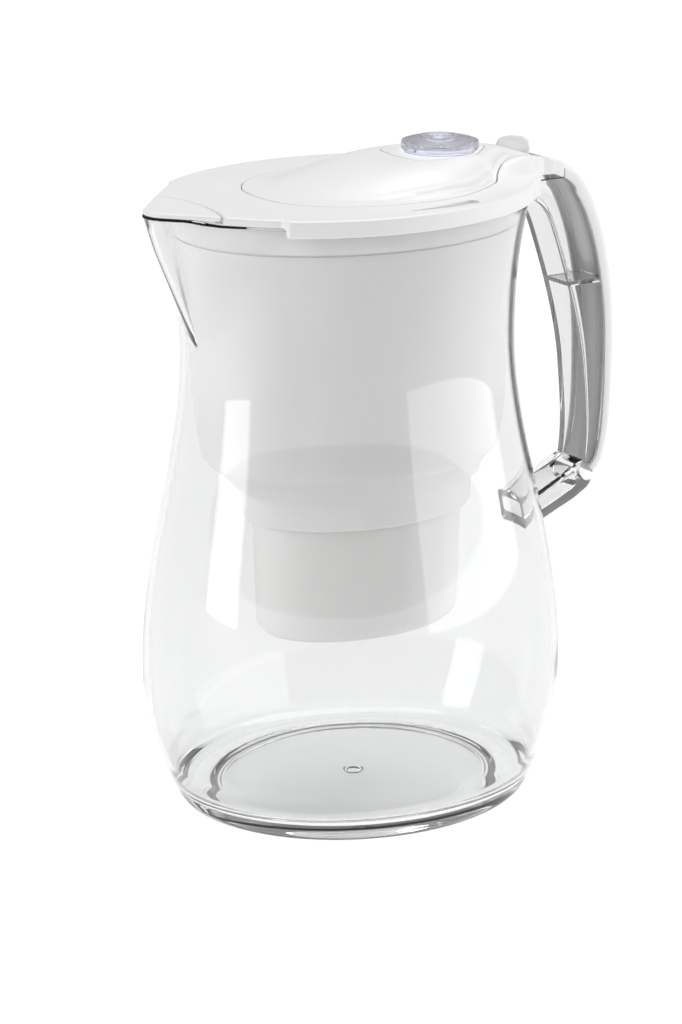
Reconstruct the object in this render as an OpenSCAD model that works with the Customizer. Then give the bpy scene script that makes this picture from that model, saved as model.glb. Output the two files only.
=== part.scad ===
// Water filter pitcher with a flip lid. X points from the spout to the handle, Z is up, and the
// origin is the middle of the foot. All lengths are in millimetres.

/* [Jug] */
// Height of the jug's rim above the table
rim_z = 257.5; // [252:0.5:262]
// Length of the rim along the pouring axis
rim_len = 163; // [160:0.5:166]
// Width of the rim
rim_wid = 127; // [125:0.5:130]
// Shift of the rim's middle towards the spout
rim_shift = 3; // [2:0.5:4]
// Height of the narrow waist
waist_z = 197; // [190:1:204]
// Length of the waist along the pouring axis
waist_len = 147; // [146:0.5:150]
// Width of the waist
waist_wid = 120; // [119:0.5:122]
// Height of the widest part of the belly
belly_z = 56; // [50:1:62]
// Length of the belly along the pouring axis
belly_len = 185; // [180:1:190]
// Width of the belly
belly_wid = 159; // [154:1:164]
// Length of the foot along the pouring axis
foot_len = 152; // [146:1:156]
// Width of the foot
foot_wid = 136; // [130:1:140]
// Thickness of the clear wall
wall = 2.6; // [2.2:0.1:2.8]
// Radius of the heel round the foot
heel_r = 4; // [3:0.5:5]
// Height of the hollow under the base
push_up = 4.5; // [3:0.5:6]
// Width of the ring that the jug stands on
foot_ring = 7; // [5:0.5:9]
// Thickness of the floor
floor_t = 3.2; // [2.8:0.1:4]

/* [Spout] */
// Distance from the middle of the jug to the spout's tip, at the rim
spout_reach = 98.6; // [96:0.2:101]
// Run of the keel towards the jug for each millimetre down
keel_slope = 0.427; // [0.38:0.01:0.46]
// Radius of the spout's nose
nose_r = 8; // [6:0.5:10]

/* [Handle] */
// Width of the clear channel that the hand holds
grip_wid = 20; // [18:0.5:21]
// Thickness of the channel's web and its two sides
grip_t = 2.3; // [2:0.1:2.6]
// Height of the top of the handle's root
root_z = 256.2; // [254:0.2:256.6]
// Height of the stiffening rib across the channel
rib_z = 209; // [200:1:218]
// Thickness of the stiffening rib
rib_t = 2; // [1.6:0.1:2.6]
// Width of the cover over the back of the handle
cover_wid = 24.6; // [24.4:0.1:26]
// Thickness of the cover
cover_t = 1.9; // [1.6:0.1:2]
// Depth of the cover's sides at the top of the handle
cover_deep = 7.2; // [6:0.2:8]
// Depth of the cover's sides at the foot of the handle
cover_shallow = 4.4; // [4:0.2:5.4]
// Height that the cover's back is crowned by
cover_crown = 0.8; // [0.4:0.1:1.2]

/* [Lid] */
// Thickness of the lid's plate
lid_t = 3.2; // [3:0.1:3.6]
// Thickness of the lid's skirt
skirt_t = 1.6; // [1.4:0.1:2]
// Depth of the skirt below the plate
skirt_h = 3.7; // [3:0.1:4.5]
// Where the skirt ends on each side of the spout, measured from the middle
skirt_front = 61; // [56:1:64]
// Half width of the lid where its neck begins
neck_wid = 32; // [30:0.5:34]
// Where the neck begins, measured from the middle
neck_x = 69; // [67:0.5:70]
// Where the neck meets the handle's cover
neck_end = 98.6; // [97:0.2:100]
// Height of the neck above the plate, over the hinge
neck_rise = 6.6; // [6:0.1:7]

/* [Filling hatch] */
// Length of the oval that the hatch's front follows
hatch_len = 104; // [100:1:106]
// Width of the hatch
hatch_wid = 114; // [108:1:116]
// Middle of that oval, measured from the middle of the jug
hatch_x = 2; // [0:0.5:4]
// Height of the hatch's flat crown above the plate
hatch_rise = 9.9; // [8:0.1:11]
// Share of the way up to the crown that the hatch's flat rim takes
band_share = 0.18; // [0.1:0.01:0.25]
// Rise of the hatch over that flat rim
band_rise = 0.6; // [0.3:0.1:1.5]
// Thickness of the hatch's shell
hatch_t = 1.8; // [1.5:0.1:2.2]
// Width of the strip that runs back between the hinge cheeks
strip_wid = 27.4; // [24:0.2:28]
// Distance of the hatch's hinge from the middle of the jug
hinge_x = 72; // [70:0.5:74]
// Height of the hatch's hinge above the plate
hinge_rise = 3.3; // [3:0.1:3.6]
// Radius of the hinge pin
hinge_r = 1.5; // [1.2:0.1:1.7]
// How far the hinge pin reaches into each cheek of the neck
hinge_hold = 3.3; // [2.5:0.1:4]
// How far the flap's pin reaches past each side of its knuckle
flap_hold = 4.3; // [3:0.1:5]
// Width of the thumb tab
tab_wid = 21; // [18:0.5:22]
// Height of the thumb tab above the neck
tab_rise = 4.8; // [3:0.2:6]

/* [Spout flap] */
// Thickness of the flap
flap_t = 2.6; // [2.2:0.1:2.8]
// Distance of the flap's hinge from the middle of the jug
flap_hinge = 72.4; // [71:0.2:73]
// Radius of the flap's hinge pin
flap_pin_r = 0.8; // [0.6:0.1:0.9]
// Width of the flap's knuckle
knuckle_wid = 16; // [12:1:20]

/* [Counter] */
// Distance of the counter from the middle of the jug
counter_x = 43; // [41:0.5:44]
// Radius of the clear knob
knob_r = 16.3; // [14:0.1:17]
// Height of the knob's side
knob_side = 3.4; // [2.8:0.1:4]
// Height of the knob's dome above its side
knob_dome = 2.4; // [1.6:0.1:3]
// Number of months on the dial
months = 12; // [8:1:12]
// Radius of the shaft that the knob turns on
shaft_r = 2.4; // [2:0.1:3]
// Thickness of the friction washer under the hatch
washer_t = 0.8; // [0.6:0.1:1]

/* [Funnel] */
// Thickness of the funnel's wall
funnel_t = 1.8; // [1.5:0.1:2.2]
// Depth of the collar that fills the jug's neck
collar_h = 9.6; // [8:0.2:11]
// Height of the lower edge of the funnel's side
hopper_z = 149; // [144:1:154]
// Length of the funnel at its lower edge
hopper_len = 131; // [126:1:133]
// Width of the funnel at its lower edge
hopper_wid = 108; // [104:1:109]
// Height of the top of the cartridge pocket
pocket_top = 138; // [136:0.5:140]
// Height of the underside of the cartridge pocket
pocket_z = 125; // [123:0.5:127]
// Length of the pocket
pocket_len = 104; // [102:0.5:108]
// Width of the pocket
pocket_wid = 74; // [72:0.5:78]

/* [Cartridge] */
// Length of the cartridge where it leaves the pocket
cart_len = 96; // [92:0.5:97]
// Width of the cartridge where it leaves the pocket
cart_wid = 66; // [62:0.5:67]
// Height of the underside of the cartridge
cart_z = 74; // [72:0.5:80]
// Height of the cartridge's rim
cart_top = 158; // [152:0.5:162]
// Thickness of the cartridge's wall
cart_t = 1.6; // [1.4:0.1:2]
// How much the cartridge tapers on each side towards its foot
cart_taper = 1.6; // [1:0.1:2.4]
// Height of the grip on the cartridge's cap
cart_grip = 14; // [10:0.5:18]
// Width of the seal round the cartridge
seal_t = 1.5; // [1.2:0.1:1.6]

/* [Fits] */
// Gap between pieces that lift or turn
play = 0.3; // [0.25:0.05:0.35]
// Gap between a hinge pin and its bore
pin_play = 0.05; // [0.04:0.01:0.1]

/* [Hidden] */
$fn = 48;
turns = 60;
plate_z = rim_z + 2 + lid_t;
plate_low = rim_z + 2;
flange_t = 1.6;
flange_z = rim_z + 0.2;
skirt_z = plate_low - skirt_h;
hinge_z = plate_z + hinge_rise;
crown_z = plate_z + hatch_rise;
hinge_pin_len = strip_wid + 2 * (play + hinge_hold);
flap_pin_len = knuckle_wid + 2 * flap_hold;
rim_cx = -rim_shift;
skirt_len = rim_len + 2 * (play + 0.1 + skirt_t);
skirt_wid = rim_wid + 2 * (play + 0.1 + skirt_t);
grip_y = grip_wid / 2;
cover_y = cover_wid / 2;
neck_y = cover_y;
rear_strip = strip_wid / 2;
inner_floor = push_up + floor_t;
seat_z = pocket_z + funnel_t;
cart_x = 2;
flap_pin_z = plate_z - 1.6;

// ---------------------------------------------------------------- curves

function mix(a, b, t) = a + (b - a) * t;

// Points on a chain of cubic curves that share their end points
function cubic(p, t) = pow(1 - t, 3) * p[0] + 3 * pow(1 - t, 2) * t * p[1]
    + 3 * (1 - t) * t * t * p[2] + pow(t, 3) * p[3];
function chain_at(p, s) = let (k = min(floor(s), (len(p) - 1) / 3 - 1))
    cubic([for (j = [0:3]) p[3 * k + j]], s - k);
function chain(p, n) = [for (i = [0:n]) chain_at(p, i / n * (len(p) - 1) / 3)];

// Half of the jug's size at a height: a rounded belly, a bell-shaped flank and a flared rim
function side(z, foot, belly, waist, rim) =
    z <= belly_z ? mix(foot, belly, sin(90 * max(z, 0) / belly_z)) / 2
    : z <= waist_z
        ? mix(waist, belly, pow((1 + cos(180 * (z - belly_z) / (waist_z - belly_z))) / 2, 0.9)) / 2
        : mix(waist, rim, pow((z - waist_z) / (rim_z - waist_z), 2.3)) / 2;
function jug_a(z) = side(z, foot_len, belly_len, waist_len, rim_len);
function jug_b(z) = side(z, foot_wid, belly_wid, waist_wid, rim_wid);
function jug_cx(z) = -rim_shift * z / rim_z;
function nose_d(z) = spout_reach - keel_slope * (rim_z - z) + jug_cx(z) - nose_r;

// Bearings round a section, counted from the spout and closest together there
function bearing(i) = let (u = 2 * i / turns - 1) 180 * (1 - sign(u) * pow(abs(u), 1.3));
bearings = [for (i = [turns - 1:-1:0]) bearing(i)];
even = [for (i = [0:47]) 7.5 * i];

// Distance from the middle of an oval to its edge
function oval(a, b, ang) = a * b / norm([b * cos(ang), a * sin(ang)]);

// The same for an oval with a round nose at distance d on its -X side, joined by tangents
function prow(a, b, d, r, ang) =
    d + r <= a ? oval(a, b, ang)
    : let (t = ang > 180 ? 360 - ang : ang, qa = a * a - b * b - d * d, qb = 2 * r * d,
        c = (-qb + sqrt(qb * qb - 4 * qa * (b * b - r * r))) / (2 * qa), s = sqrt(1 - c * c),
        leave = atan2(b * b * s, a * a * c), land = atan2(r * s, r * c - d))
    t <= leave ? oval(a, b, t)
    : t < land ? (r - d * c) / cos(t - acos(c))
    : d * cos(180 - t) + sqrt(r * r - pow(d * sin(180 - t), 2));

// Outlines as lists of [x, y]
function oval_line(a, b, cx = 0, angs = even) =
    [for (t = angs) let (r = oval(a, b, t)) [cx + r * cos(t), r * sin(t)]];
function prow_line(a, b, d, r, cx, angs = bearings) =
    [for (t = angs) let (q = prow(a, b, d, r, t)) [cx + q * cos(t), q * sin(t)]];
function jug_line(z, inset) =
    prow_line(jug_a(z) - inset, jug_b(z) - inset, nose_d(z), nose_r - inset, jug_cx(z));
function raise(line, z) = [for (p = line) [p.x, p.y, z]];
function flat(line) = [for (p = line) [p.x, p.y]];

// Middle of a ring of points
function middle(ring) = [for (j = [0:2]) total([for (p = ring) p[j]])] / len(ring);
function total(v, i = 0) = i < len(v) ? v[i] + total(v, i + 1) : 0;

// A closed solid through rings of points. Without caps the last ring joins the first.
module skin(rings, caps = true, flip = false) {
    n = len(rings[0]);
    m = len(rings);
    last = caps ? m - 2 : m - 1;
    points = concat([for (r = rings) each r], caps ? [middle(rings[0]), middle(rings[m - 1])] : []);
    sides = [for (k = [0:last], i = [0:n - 1])
        let (a = k * n + i, b = k * n + (i + 1) % n, e = ((k + 1) % m) * n, c = e + (i + 1) % n, d = e + i)
        each [[a, d, c], [a, c, b]]];
    ends = caps ? [for (i = [0:n - 1]) each [[m * n, i, (i + 1) % n],
        [m * n + 1, (m - 1) * n + (i + 1) % n, (m - 1) * n + i]]] : [];
    faces = concat(sides, ends);
    polyhedron(points = points, faces = flip ? [for (f = faces) [f[2], f[1], f[0]]] : faces);
}

// A slab of an X-Z outline, centred on Y
module slab(line, width) {
    rotate([90, 0, 0]) linear_extrude(height = width, center = true) polygon(line);
}

// A pin or a bore along Y
module rod(x, z, r, width) {
    translate([x, 0, z]) rotate([90, 0, 0]) cylinder(r = r, h = width, center = true);
}

// ---------------------------------------------------------------- jug

function heel_inset(z) = z >= heel_r ? 0 : heel_r - sqrt(heel_r * heel_r - pow(heel_r - z, 2));
outer_levels = concat([0, 1, 2.2, heel_r, 12, 24, 40],
    [for (i = [0:7]) mix(belly_z, waist_z, i / 7)], [for (i = [1:7]) mix(waist_z, rim_z, i / 7)]);
inner_bend = 9;
inner_levels = concat([for (i = [1:5]) mix(waist_z, rim_z, 1 - i / 5)],
    [for (i = [1:6]) mix(waist_z, belly_z, i / 6)], [40, 24]);

function jug_rings() = let (base_in = heel_r + foot_ring, low = inner_floor)
    concat(
        [raise(oval_line(20, 18, 0, bearings), push_up)],
        [raise(oval_line(jug_a(0) - base_in - 8, jug_b(0) - base_in - 8, 0, bearings), push_up)],
        [raise(oval_line(jug_a(0) - base_in - 1, jug_b(0) - base_in - 1, 0, bearings), push_up / 3)],
        [raise(oval_line(jug_a(0) - base_in, jug_b(0) - base_in, 0, bearings), -1)],
        [raise(oval_line(jug_a(0) - heel_r, jug_b(0) - heel_r, 0, bearings), -1)],
        [for (z = outer_levels) raise(jug_line(z, heel_inset(z)), z)],
        [raise(jug_line(rim_z, wall), rim_z)],
        [for (z = inner_levels) raise(jug_line(z, wall), z)],
        [for (t = [30, 60]) let (z = low + inner_bend * (1 - sin(t)))
            raise(jug_line(low + inner_bend, wall + inner_bend * (1 - cos(t))), z)],
        [raise(jug_line(low + inner_bend, wall + inner_bend), low)]);

// Side view of the handle: the face that the fingers hold, from the rim down to the arm
grip_curve = [[77.5, 250.5], [87, 249], [91.8, 243.9], [95.6, 233.6], [99.4, 223.3], [110, 194.2],
    [112.2, 171.8], [114.3, 150.1], [115.1, 140.7], [112.8, 126.5]];
// Side view of the back of the handle's cover, from the neck down to the arm
back_curve = [[98.9, 262.2], [116.7, 258.4], [127.5, 216.8], [127.1, 180.5], [126.8, 146],
    [125.2, 128.3], [117.5, 123.5]];

// The same curves moved sideways by d, to the left of their run
function beside(p, s, d) = let (e = 0.01, n = (len(p) - 1) / 3, s0 = max(0, s - e), s1 = min(n, s + e),
    v = chain_at(p, s1) - chain_at(p, s0)) chain_at(p, s) + d * [-v[1], v[0]] / norm(v);
function beside_line(p, n, d) = [for (i = [0:n]) beside(p, i / n * (len(p) - 1) / 3, d)];
// Distance of the clear channel's back from the back of the cover
back_in = cover_t + 1.6;

module handle_channel() {
    grip = chain(grip_curve, 24);
    back = beside_line(back_curve, 20, -back_in);
    outline = concat(grip, [for (i = [20:-1:0]) back[i]], [[77.5, 260]]);
    web = beside_line(grip_curve, 24, grip_t);
    hollow = concat([for (p = web) if (p[1] < 246 && p[1] > 131) p], [[115.5, 128], [121, 126]],
        [[134, 150], [134, 270], [90, 270], [86, 252]]);
    difference() {
        slab(outline, grip_wid);
        slab(hollow, grip_wid - 2 * grip_t);
        translate([60, -grip_wid, root_z]) cube([80, 2 * grip_wid, 30]);
        translate([0, -grip_wid, 230]) cube([jug_a(240) + rim_cx - wall * 0.55, 2 * grip_wid, 40]);
    }
    // The rib that ties the channel's sides together
    intersection() {
        slab(outline, grip_wid - 1);
        translate([90, -grip_y, rib_z - rib_t / 2]) cube([40, grip_wid, rib_t]);
    }
}

// The arm that carries the foot of the handle, cored from the channel
module handle_arm() {
    z0 = 104;
    x0 = jug_a(z0 + 7) + jug_cx(z0 + 7) - wall * 0.7;
    upper = [[x0 - 0.8, 117.5], [x0 + 4, 117.6], [x0 + 9, 119.4], [x0 + 15, 122.6], [x0 + 21, 125.4],
        [x0 + 25.5, 128.6]];
    under_cover = [for (s = [1.72, 1.8, 1.9, 1.99]) beside(back_curve, s, -back_in)];
    lower = concat(under_cover, [[115.4, 125.4], [117.1, 122.8], [118.1, 120.9], [116.5, 116.6],
        [108, 112.2], [98, 108.8], [91, 105.6], [x0, 101.5]]);
    core = [[x0 + 2.6, 114.8], [x0 + 6, 115], [x0 + 11, 117.2], [x0 + 17, 120.4], [x0 + 22, 123.6],
        [x0 + 24.5, 133], [125, 133], [116.4, 127.8], [114.4, 122], [112.8, 117.6], [107, 114.8], [97, 111.2],
        [x0 + 2.6, 107.2]];
    difference() {
        slab(concat(upper, lower), grip_wid);
        slab(core, grip_wid - 2 * grip_t);
    }
}

module jug() {
    color([0.86, 0.9, 0.92, 0.35]) difference() {
        union() {
            skin(jug_rings());
            handle_channel();
            handle_arm();
        }
        translate([-200, -200, -10]) cube([400, 400, 10]);
    }
}

// ---------------------------------------------------------------- handle cover

// Depth of the cover's sides along its run, with a step below the neck
function lip(s) = s < 0.16 ? cover_deep - 1.8 : mix(cover_deep, cover_shallow, pow(s / 2, 0.7));

// One U-shaped section of the cover, square to its run
function cover_ring(s, inward) = let (h = cover_y, d = lip(s), p = chain_at(back_curve, s),
    half = [[h, d], [h, 2.6], [h - 0.5, 1.2], [h - 1.8, 0.25], [h * 0.5, -0.3 * cover_crown]],
    outer = concat(half, [[0, -cover_crown / 2]], [for (i = [4:-1:0]) [-half[i][0], half[i][1]]]),
    k = (h - cover_t) / h,
    inner = [for (q = outer) [q[0] * k, q[1] >= d ? d : q[1] + cover_t]])
    [for (q = concat(outer, [for (i = [10:-1:0]) inner[i]]))
        [p[0] + inward[0] * q[1], q[0], p[1] + inward[1] * q[1]]];
function cover_inward(s) = s == 0 ? [0, -1]
    : let (v = beside(back_curve, s, -1) - chain_at(back_curve, s)) v / norm(v);
cover_steps = concat([0, 0.06, 0.13, 0.17], [for (i = [3:18]) i / 9]);

module handle_cover() {
    rings = [for (s = cover_steps) cover_ring(s, cover_inward(s))];
    n = 22;
    m = len(rings);
    sides = [for (k = [0:m - 2], i = [0:n - 1])
        let (a = k * n + i, b = k * n + (i + 1) % n, c = (k + 1) * n + (i + 1) % n, d = (k + 1) * n + i)
        each [[a, d, c], [a, c, b]]];
    // Each end is closed by a strip between the outer and the inner line of the U
    ends = [for (i = [0:9]) each [[i, i + 1, n - 2 - i], [i, n - 2 - i, n - 1 - i]]];
    far = [for (f = ends) [f[2] + (m - 1) * n, f[1] + (m - 1) * n, f[0] + (m - 1) * n]];
    color([0.96, 0.96, 0.95])
        polyhedron(points = [for (r = rings) each r], faces = concat(sides, ends, far));
}

// ---------------------------------------------------------------- lid

// Bearings round the hatch, closest together where it narrows to its strip
hatch_bearings = concat([for (t = [0:3:33]) t], [for (t = [42:9:318]) t], [for (t = [327:3:357]) t]);
corner_r = 13;

// Distance from the middle of the hatch's oval to the concave corner beside the strip
function corner_reach(t, gap) = let (c = [hinge_x - 8 - hatch_x, rear_strip + corner_r], u = [cos(t), abs(sin(t))],
    along = c * u, d = pow(along, 2) - c * c + pow(corner_r - gap, 2)) d > 0 ? along - sqrt(d) : 200;

// Outline of the hatch, and of the opening for it with a gap round it
function hatch_line(gap) = [for (t = hatch_bearings) let (
    q = prow(hatch_len / 2 + gap, hatch_wid / 2 + gap, 38, 24 + gap, abs(180 - t)), r = min(q, corner_reach(t, gap)))
    [hatch_x + r * cos(t), r * sin(t)]];

// Plan of the flap: the spout's outline in front of a shallow arc
seam_r = 68;
module flap_plan(gap) {
    intersection() {
        polygon(jug_line(rim_z, 0.3));
        difference() {
            translate([-130, -40]) square([130 - flap_hinge - 0.9, 80]);
            translate([0, 0]) difference() {
                translate([-flap_hinge - 8, -60]) square([40, 120]);
                translate([-flap_hinge - 0.9 - seam_r - gap, 0]) circle(r = seam_r, $fn = 180);
            }
        }
    }
}

// Plan of the lid, set in by edge: the skirt's oval, the spout's lip in front and the neck behind
function lid_line(edge, tail) = let (a = skirt_len / 2 - edge, b = skirt_wid / 2 - edge,
    side_y = b * sqrt(1 - pow((skirt_front + rim_cx) / a, 2)),
    round = oval_line(a, b, rim_cx, bearings), lip = jug_line(rim_z, max(edge, 0.1)))
    concat([[neck_end + tail, -neck_y + edge], [neck_end + tail, neck_y - edge], [neck_x, neck_wid - edge]],
        [for (p = round) if (p.x > -skirt_front + 1 && p.y > neck_wid + 3) p], [[-skirt_front, side_y]],
        [for (p = lip) if (p.x < -skirt_front) p], [[-skirt_front, -side_y]],
        [for (p = round) if (p.x > -skirt_front + 1 && p.y < -neck_wid - 3) p], [[neck_x, -neck_wid + edge]]);

// Cross-sections of the raised neck: [x, half width at the plate, half width at the top, rise]
neck_steps = [[51.5, 33, 21, 0.1], [55, 32.4, 19.6, 0.42], [59, 31.6, 18.2, 0.68], [63, 30.4, 17, 0.86],
    [68, 28, 16.2, 0.97], [74, 25, 15.6, 1], [80, 22, 14.8, 0.9], [86, 18.6, 14, 0.68],
    [92, 15.6, 13, 0.38], [neck_end - 0.03, neck_y - 0.5, neck_y - 1.3, 0.02]];
function neck_ring(q) = let (x = q[0], wb = q[1], wt = q[2], z = plate_z + q[3] * neck_rise,
    half = [[wb, plate_z - 1.15], [wb, plate_z - 0.55], [mix(wb, wt, 0.5), mix(plate_z, z, 0.5) - 0.4],
        [wt, z - 0.7], [wt - 1.2, z], [wt / 2, z + 0.35]])
    [for (p = concat(half, [for (i = [5:-1:0]) [-half[i][0], half[i][1]]])) [x, p[0], p[1]]];

module lid() {
    well_x0 = hinge_x - 12.6;
    well_x1 = 92;
    color([0.93, 0.93, 0.93]) difference() {
        union() {
            translate([0, 0, plate_low]) linear_extrude(height = lid_t - 0.8) polygon(lid_line(0, 0));
            translate([0, 0, plate_z - 0.8]) linear_extrude(height = 0.8) polygon(lid_line(0.5, 0));
            // Skirt round the rim and down the flanks of the neck
            translate([0, 0, skirt_z]) linear_extrude(height = skirt_h + 0.4) difference() {
                polygon(lid_line(0, 0));
                polygon(lid_line(skirt_t, 3));
                translate([-200 - skirt_front, -100]) square([200, 200]);
            }
            skin([for (q = neck_steps) neck_ring(q)]);
        }
        // Recess for the hatch, then the opening inside its ledge
        translate([0, 0, plate_z - 1.7]) linear_extrude(height = 20) polygon(hatch_line(play));
        translate([0, 0, plate_low - 1]) linear_extrude(height = 20) intersection() {
            polygon(hatch_line(-4));
            translate([-100, -100]) square([100 + well_x0 - 0.4, 200]);
        }
        // Well between the cheeks, open behind for the thumb tab
        translate([well_x0, -rear_strip - play, plate_low + 0.8])
            cube([well_x1 - well_x0, strip_wid + 2 * play, 20]);
        translate([hinge_x + 3.5, -rear_strip - play, plate_low - 5])
            cube([well_x1 - hinge_x - 3.5, strip_wid + 2 * play, 20]);
        // Arched openings under the neck, over the handle's root
        rod(90, plate_low - 9, 10, 80);
        rod(hinge_x, hinge_z, hinge_r, hinge_pin_len);
        // Seat of the flap and its knuckle
        translate([0, 0, plate_low - 1]) linear_extrude(height = 10) flap_seat(play);
        translate([0, 0, plate_z - 0.9]) linear_extrude(height = 5) flap_seat(play + 1.2);
        rod(-flap_hinge, flap_pin_z, flap_pin_r, flap_pin_len);
        teardrop_slot();
    }
}

module flap_seat(gap) {
    difference() {
        translate([-140, -60]) square([140 - flap_hinge - 0.9 + gap, 120]);
        difference() {
            translate([-flap_hinge - 8, -60]) square([40, 120]);
            translate([-flap_hinge - 0.9 - seam_r + gap, 0]) circle(r = seam_r, $fn = 180);
        }
    }
    translate([-flap_hinge - 4, -knuckle_wid / 2 - play]) square([6.2, knuckle_wid + 2 * play]);
}

// The teardrop recess on the near side of the plate
module teardrop_slot() {
    translate([0, 0, plate_z - 1]) linear_extrude(height = 2) hull() {
        translate([14.2, -58.4]) circle(r = 2, $fn = 24);
        translate([2, -60.1]) circle(r = 1.1, $fn = 24);
        translate([-12, -60.2]) circle(r = 0.4, $fn = 24);
    }
}

// ---------------------------------------------------------------- spout flap

module spout_flap() {
    color([0.95, 0.95, 0.95]) difference() {
        union() {
            translate([0, 0, plate_z - flap_t]) linear_extrude(height = flap_t - 0.6) flap_plan(0);
            translate([0, 0, plate_z - 0.6]) linear_extrude(height = 0.6) offset(delta = -0.4) flap_plan(0);
            rod(-flap_hinge, flap_pin_z, 1.4, knuckle_wid);
            translate([-flap_hinge - 4, -knuckle_wid / 2, flap_pin_z - 1.2])
                cube([4, knuckle_wid, 2.6]);
        }
        rod(-flap_hinge, flap_pin_z, flap_pin_r + pin_play, 60);
    }
}

module spout_flap_pin() {
    color([0.75, 0.75, 0.75]) rod(-flap_hinge, flap_pin_z, flap_pin_r, flap_pin_len);
}

// ---------------------------------------------------------------- filling hatch

// Plan of the counter's panel: a blunt front edge, wider flanks and a rounded nose over the strip
module pick(inset) {
    hull() {
        translate([33, 0]) circle(r = 13.6 - inset);
        translate([56.5, 0]) circle(r = 8.3 - inset);
        for (s = [-1, 1]) {
            translate([28, s * 10.5]) circle(r = 7.2 - inset);
            translate([47.5, s * 12.5]) circle(r = 5.5 - inset);
        }
    }
}
// Edges of the flat crown round that panel: [bearing of the edge, distance from the crown's middle]
crown_x = 38;
crown_edges = [[180, 19.8], [127, 22.4], [95, 19.6], [53, 22.2], [0, 27.8]];
// The crown's outline with a point for each point of the hatch's edge, for its sloping sides
function crown_line(inset) = [for (p = hatch_line(-inset)) let (v = [p.x - crown_x, p.y], u = v / norm(v),
    r = min([for (e = crown_edges) let (lean = u.x * cos(e[0]) + abs(u.y) * sin(e[0]))
        lean > 0.01 ? (e[1] - inset) / lean : 99]))
    [crown_x + r * u.x, r * u.y]];

// A ring of the dome, at a share s of the way in from its edge: a flat band first, then the slope
function dome_rise(s) = s < band_share ? band_rise * s / band_share
    : mix(band_rise, hatch_rise, pow(sin(90 * (s - band_share) / (1 - band_share)), 1.1));
function dome_ring(s, drop, inset) = let (edge = hatch_line(-inset), top = crown_line(inset),
    z = drop > 0 ? max(plate_z - 1.5, plate_z + dome_rise(s) - drop) : plate_z + dome_rise(s))
    [for (i = [0:len(edge) - 1]) [mix(edge[i][0], top[i][0], s), mix(edge[i][1], top[i][1], s), z]];

module filling_hatch() {
    steps = [1, 0.88, 0.75, 0.6, 0.45, 0.32, band_share, 0];
    rise = [for (i = [7:-1:0]) steps[i]];
    color([0.94, 0.94, 0.94]) difference() {
        union() {
            skin(concat([for (s = steps) dome_ring(s, 0, 0)], [raise(hatch_line(0), plate_z - 1.5)],
                [for (s = rise) dome_ring(s, hatch_t, hatch_t)]), flip = true);
            // Strip that runs back between the cheeks, with the hinge knuckle under it
            slab([[60.6, plate_z + 0.6], [60.6, plate_z + 7.6], [66, plate_z + 7.4], [hinge_x, plate_z + neck_rise + 0.2],
                [hinge_x + 7.6, plate_z + neck_rise - 0.5], [hinge_x + 7.6, plate_z + neck_rise - 2.8],
                [hinge_x + 2, plate_z + 1.4], [hinge_x - 4, plate_z + 0.6]], strip_wid);
            rod(hinge_x, hinge_z, 3, strip_wid);
            thumb_tab();
        }
        rod(hinge_x, hinge_z, hinge_r + pin_play, hinge_pin_len);
        // Seat of the counter's panel and the hole for its shaft
        translate([0, 0, crown_z - 1]) linear_extrude(height = 10) pick(0.9);
        translate([counter_x, 0, crown_z - 20]) cylinder(r = shaft_r + 1.5, h = 40);
    }
}

// The tab that the thumb presses, hollowed towards the spout
module thumb_tab() {
    x = hinge_x + 5.6;
    top = plate_z + neck_rise + tab_rise;
    difference() {
        translate([x, 0, 0]) rotate([90, 0, 90]) linear_extrude(height = 5) hull() {
            translate([-tab_wid / 2, plate_z + neck_rise - 2.6]) square([tab_wid, 1]);
            for (s = [-1, 1]) translate([s * (tab_wid / 2 - 4.5), top - 4.5]) circle(r = 4.5);
        }
        translate([x - 8, 0, top + 4]) rotate([90, 0, 0]) cylinder(r = 11.4, h = tab_wid - 3, center = true);
        translate([x + 2.6, -20, top - 1.2]) rotate([0, 34, 0]) cube([10, 40, 10]);
        translate([x + 1.4, -20, hinge_z - 1.5]) rotate([0, 45, 0]) cube([10, 40, 6]);
    }
}

module hatch_hinge_pin() {
    color([0.75, 0.75, 0.75]) rod(hinge_x, hinge_z, hinge_r, hinge_pin_len);
}

// ---------------------------------------------------------------- counter

module counter_panel() {
    color([0.95, 0.95, 0.95]) difference() {
        translate([0, 0, crown_z - 1]) linear_extrude(height = 1.5) pick(0.9 + play);
        translate([counter_x, 0, crown_z - 5]) cylinder(r = shaft_r + 1.5, h = 20);
        translate([counter_x, 0, crown_z - 0.1]) cylinder(r = knob_r - 0.9, h = 5);
    }
}

// Fixed dial under the knob, with a raised mark for each month
module counter_dial() {
    z = crown_z;
    color([0.8, 0.82, 0.85]) difference() {
        union() {
            translate([counter_x, 0, z]) cylinder(r = knob_r - 1.1, h = 0.6);
            for (i = [0:months - 1]) translate([counter_x, 0, z]) rotate([0, 0, 360 * i / months])
                translate([knob_r - 4.4, -0.45, 0]) cube([2.4, 0.9, 1.3]);
        }
        translate([counter_x, 0, z - 1]) cylinder(r = shaft_r + 0.05, h = 5);
    }
}

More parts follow.
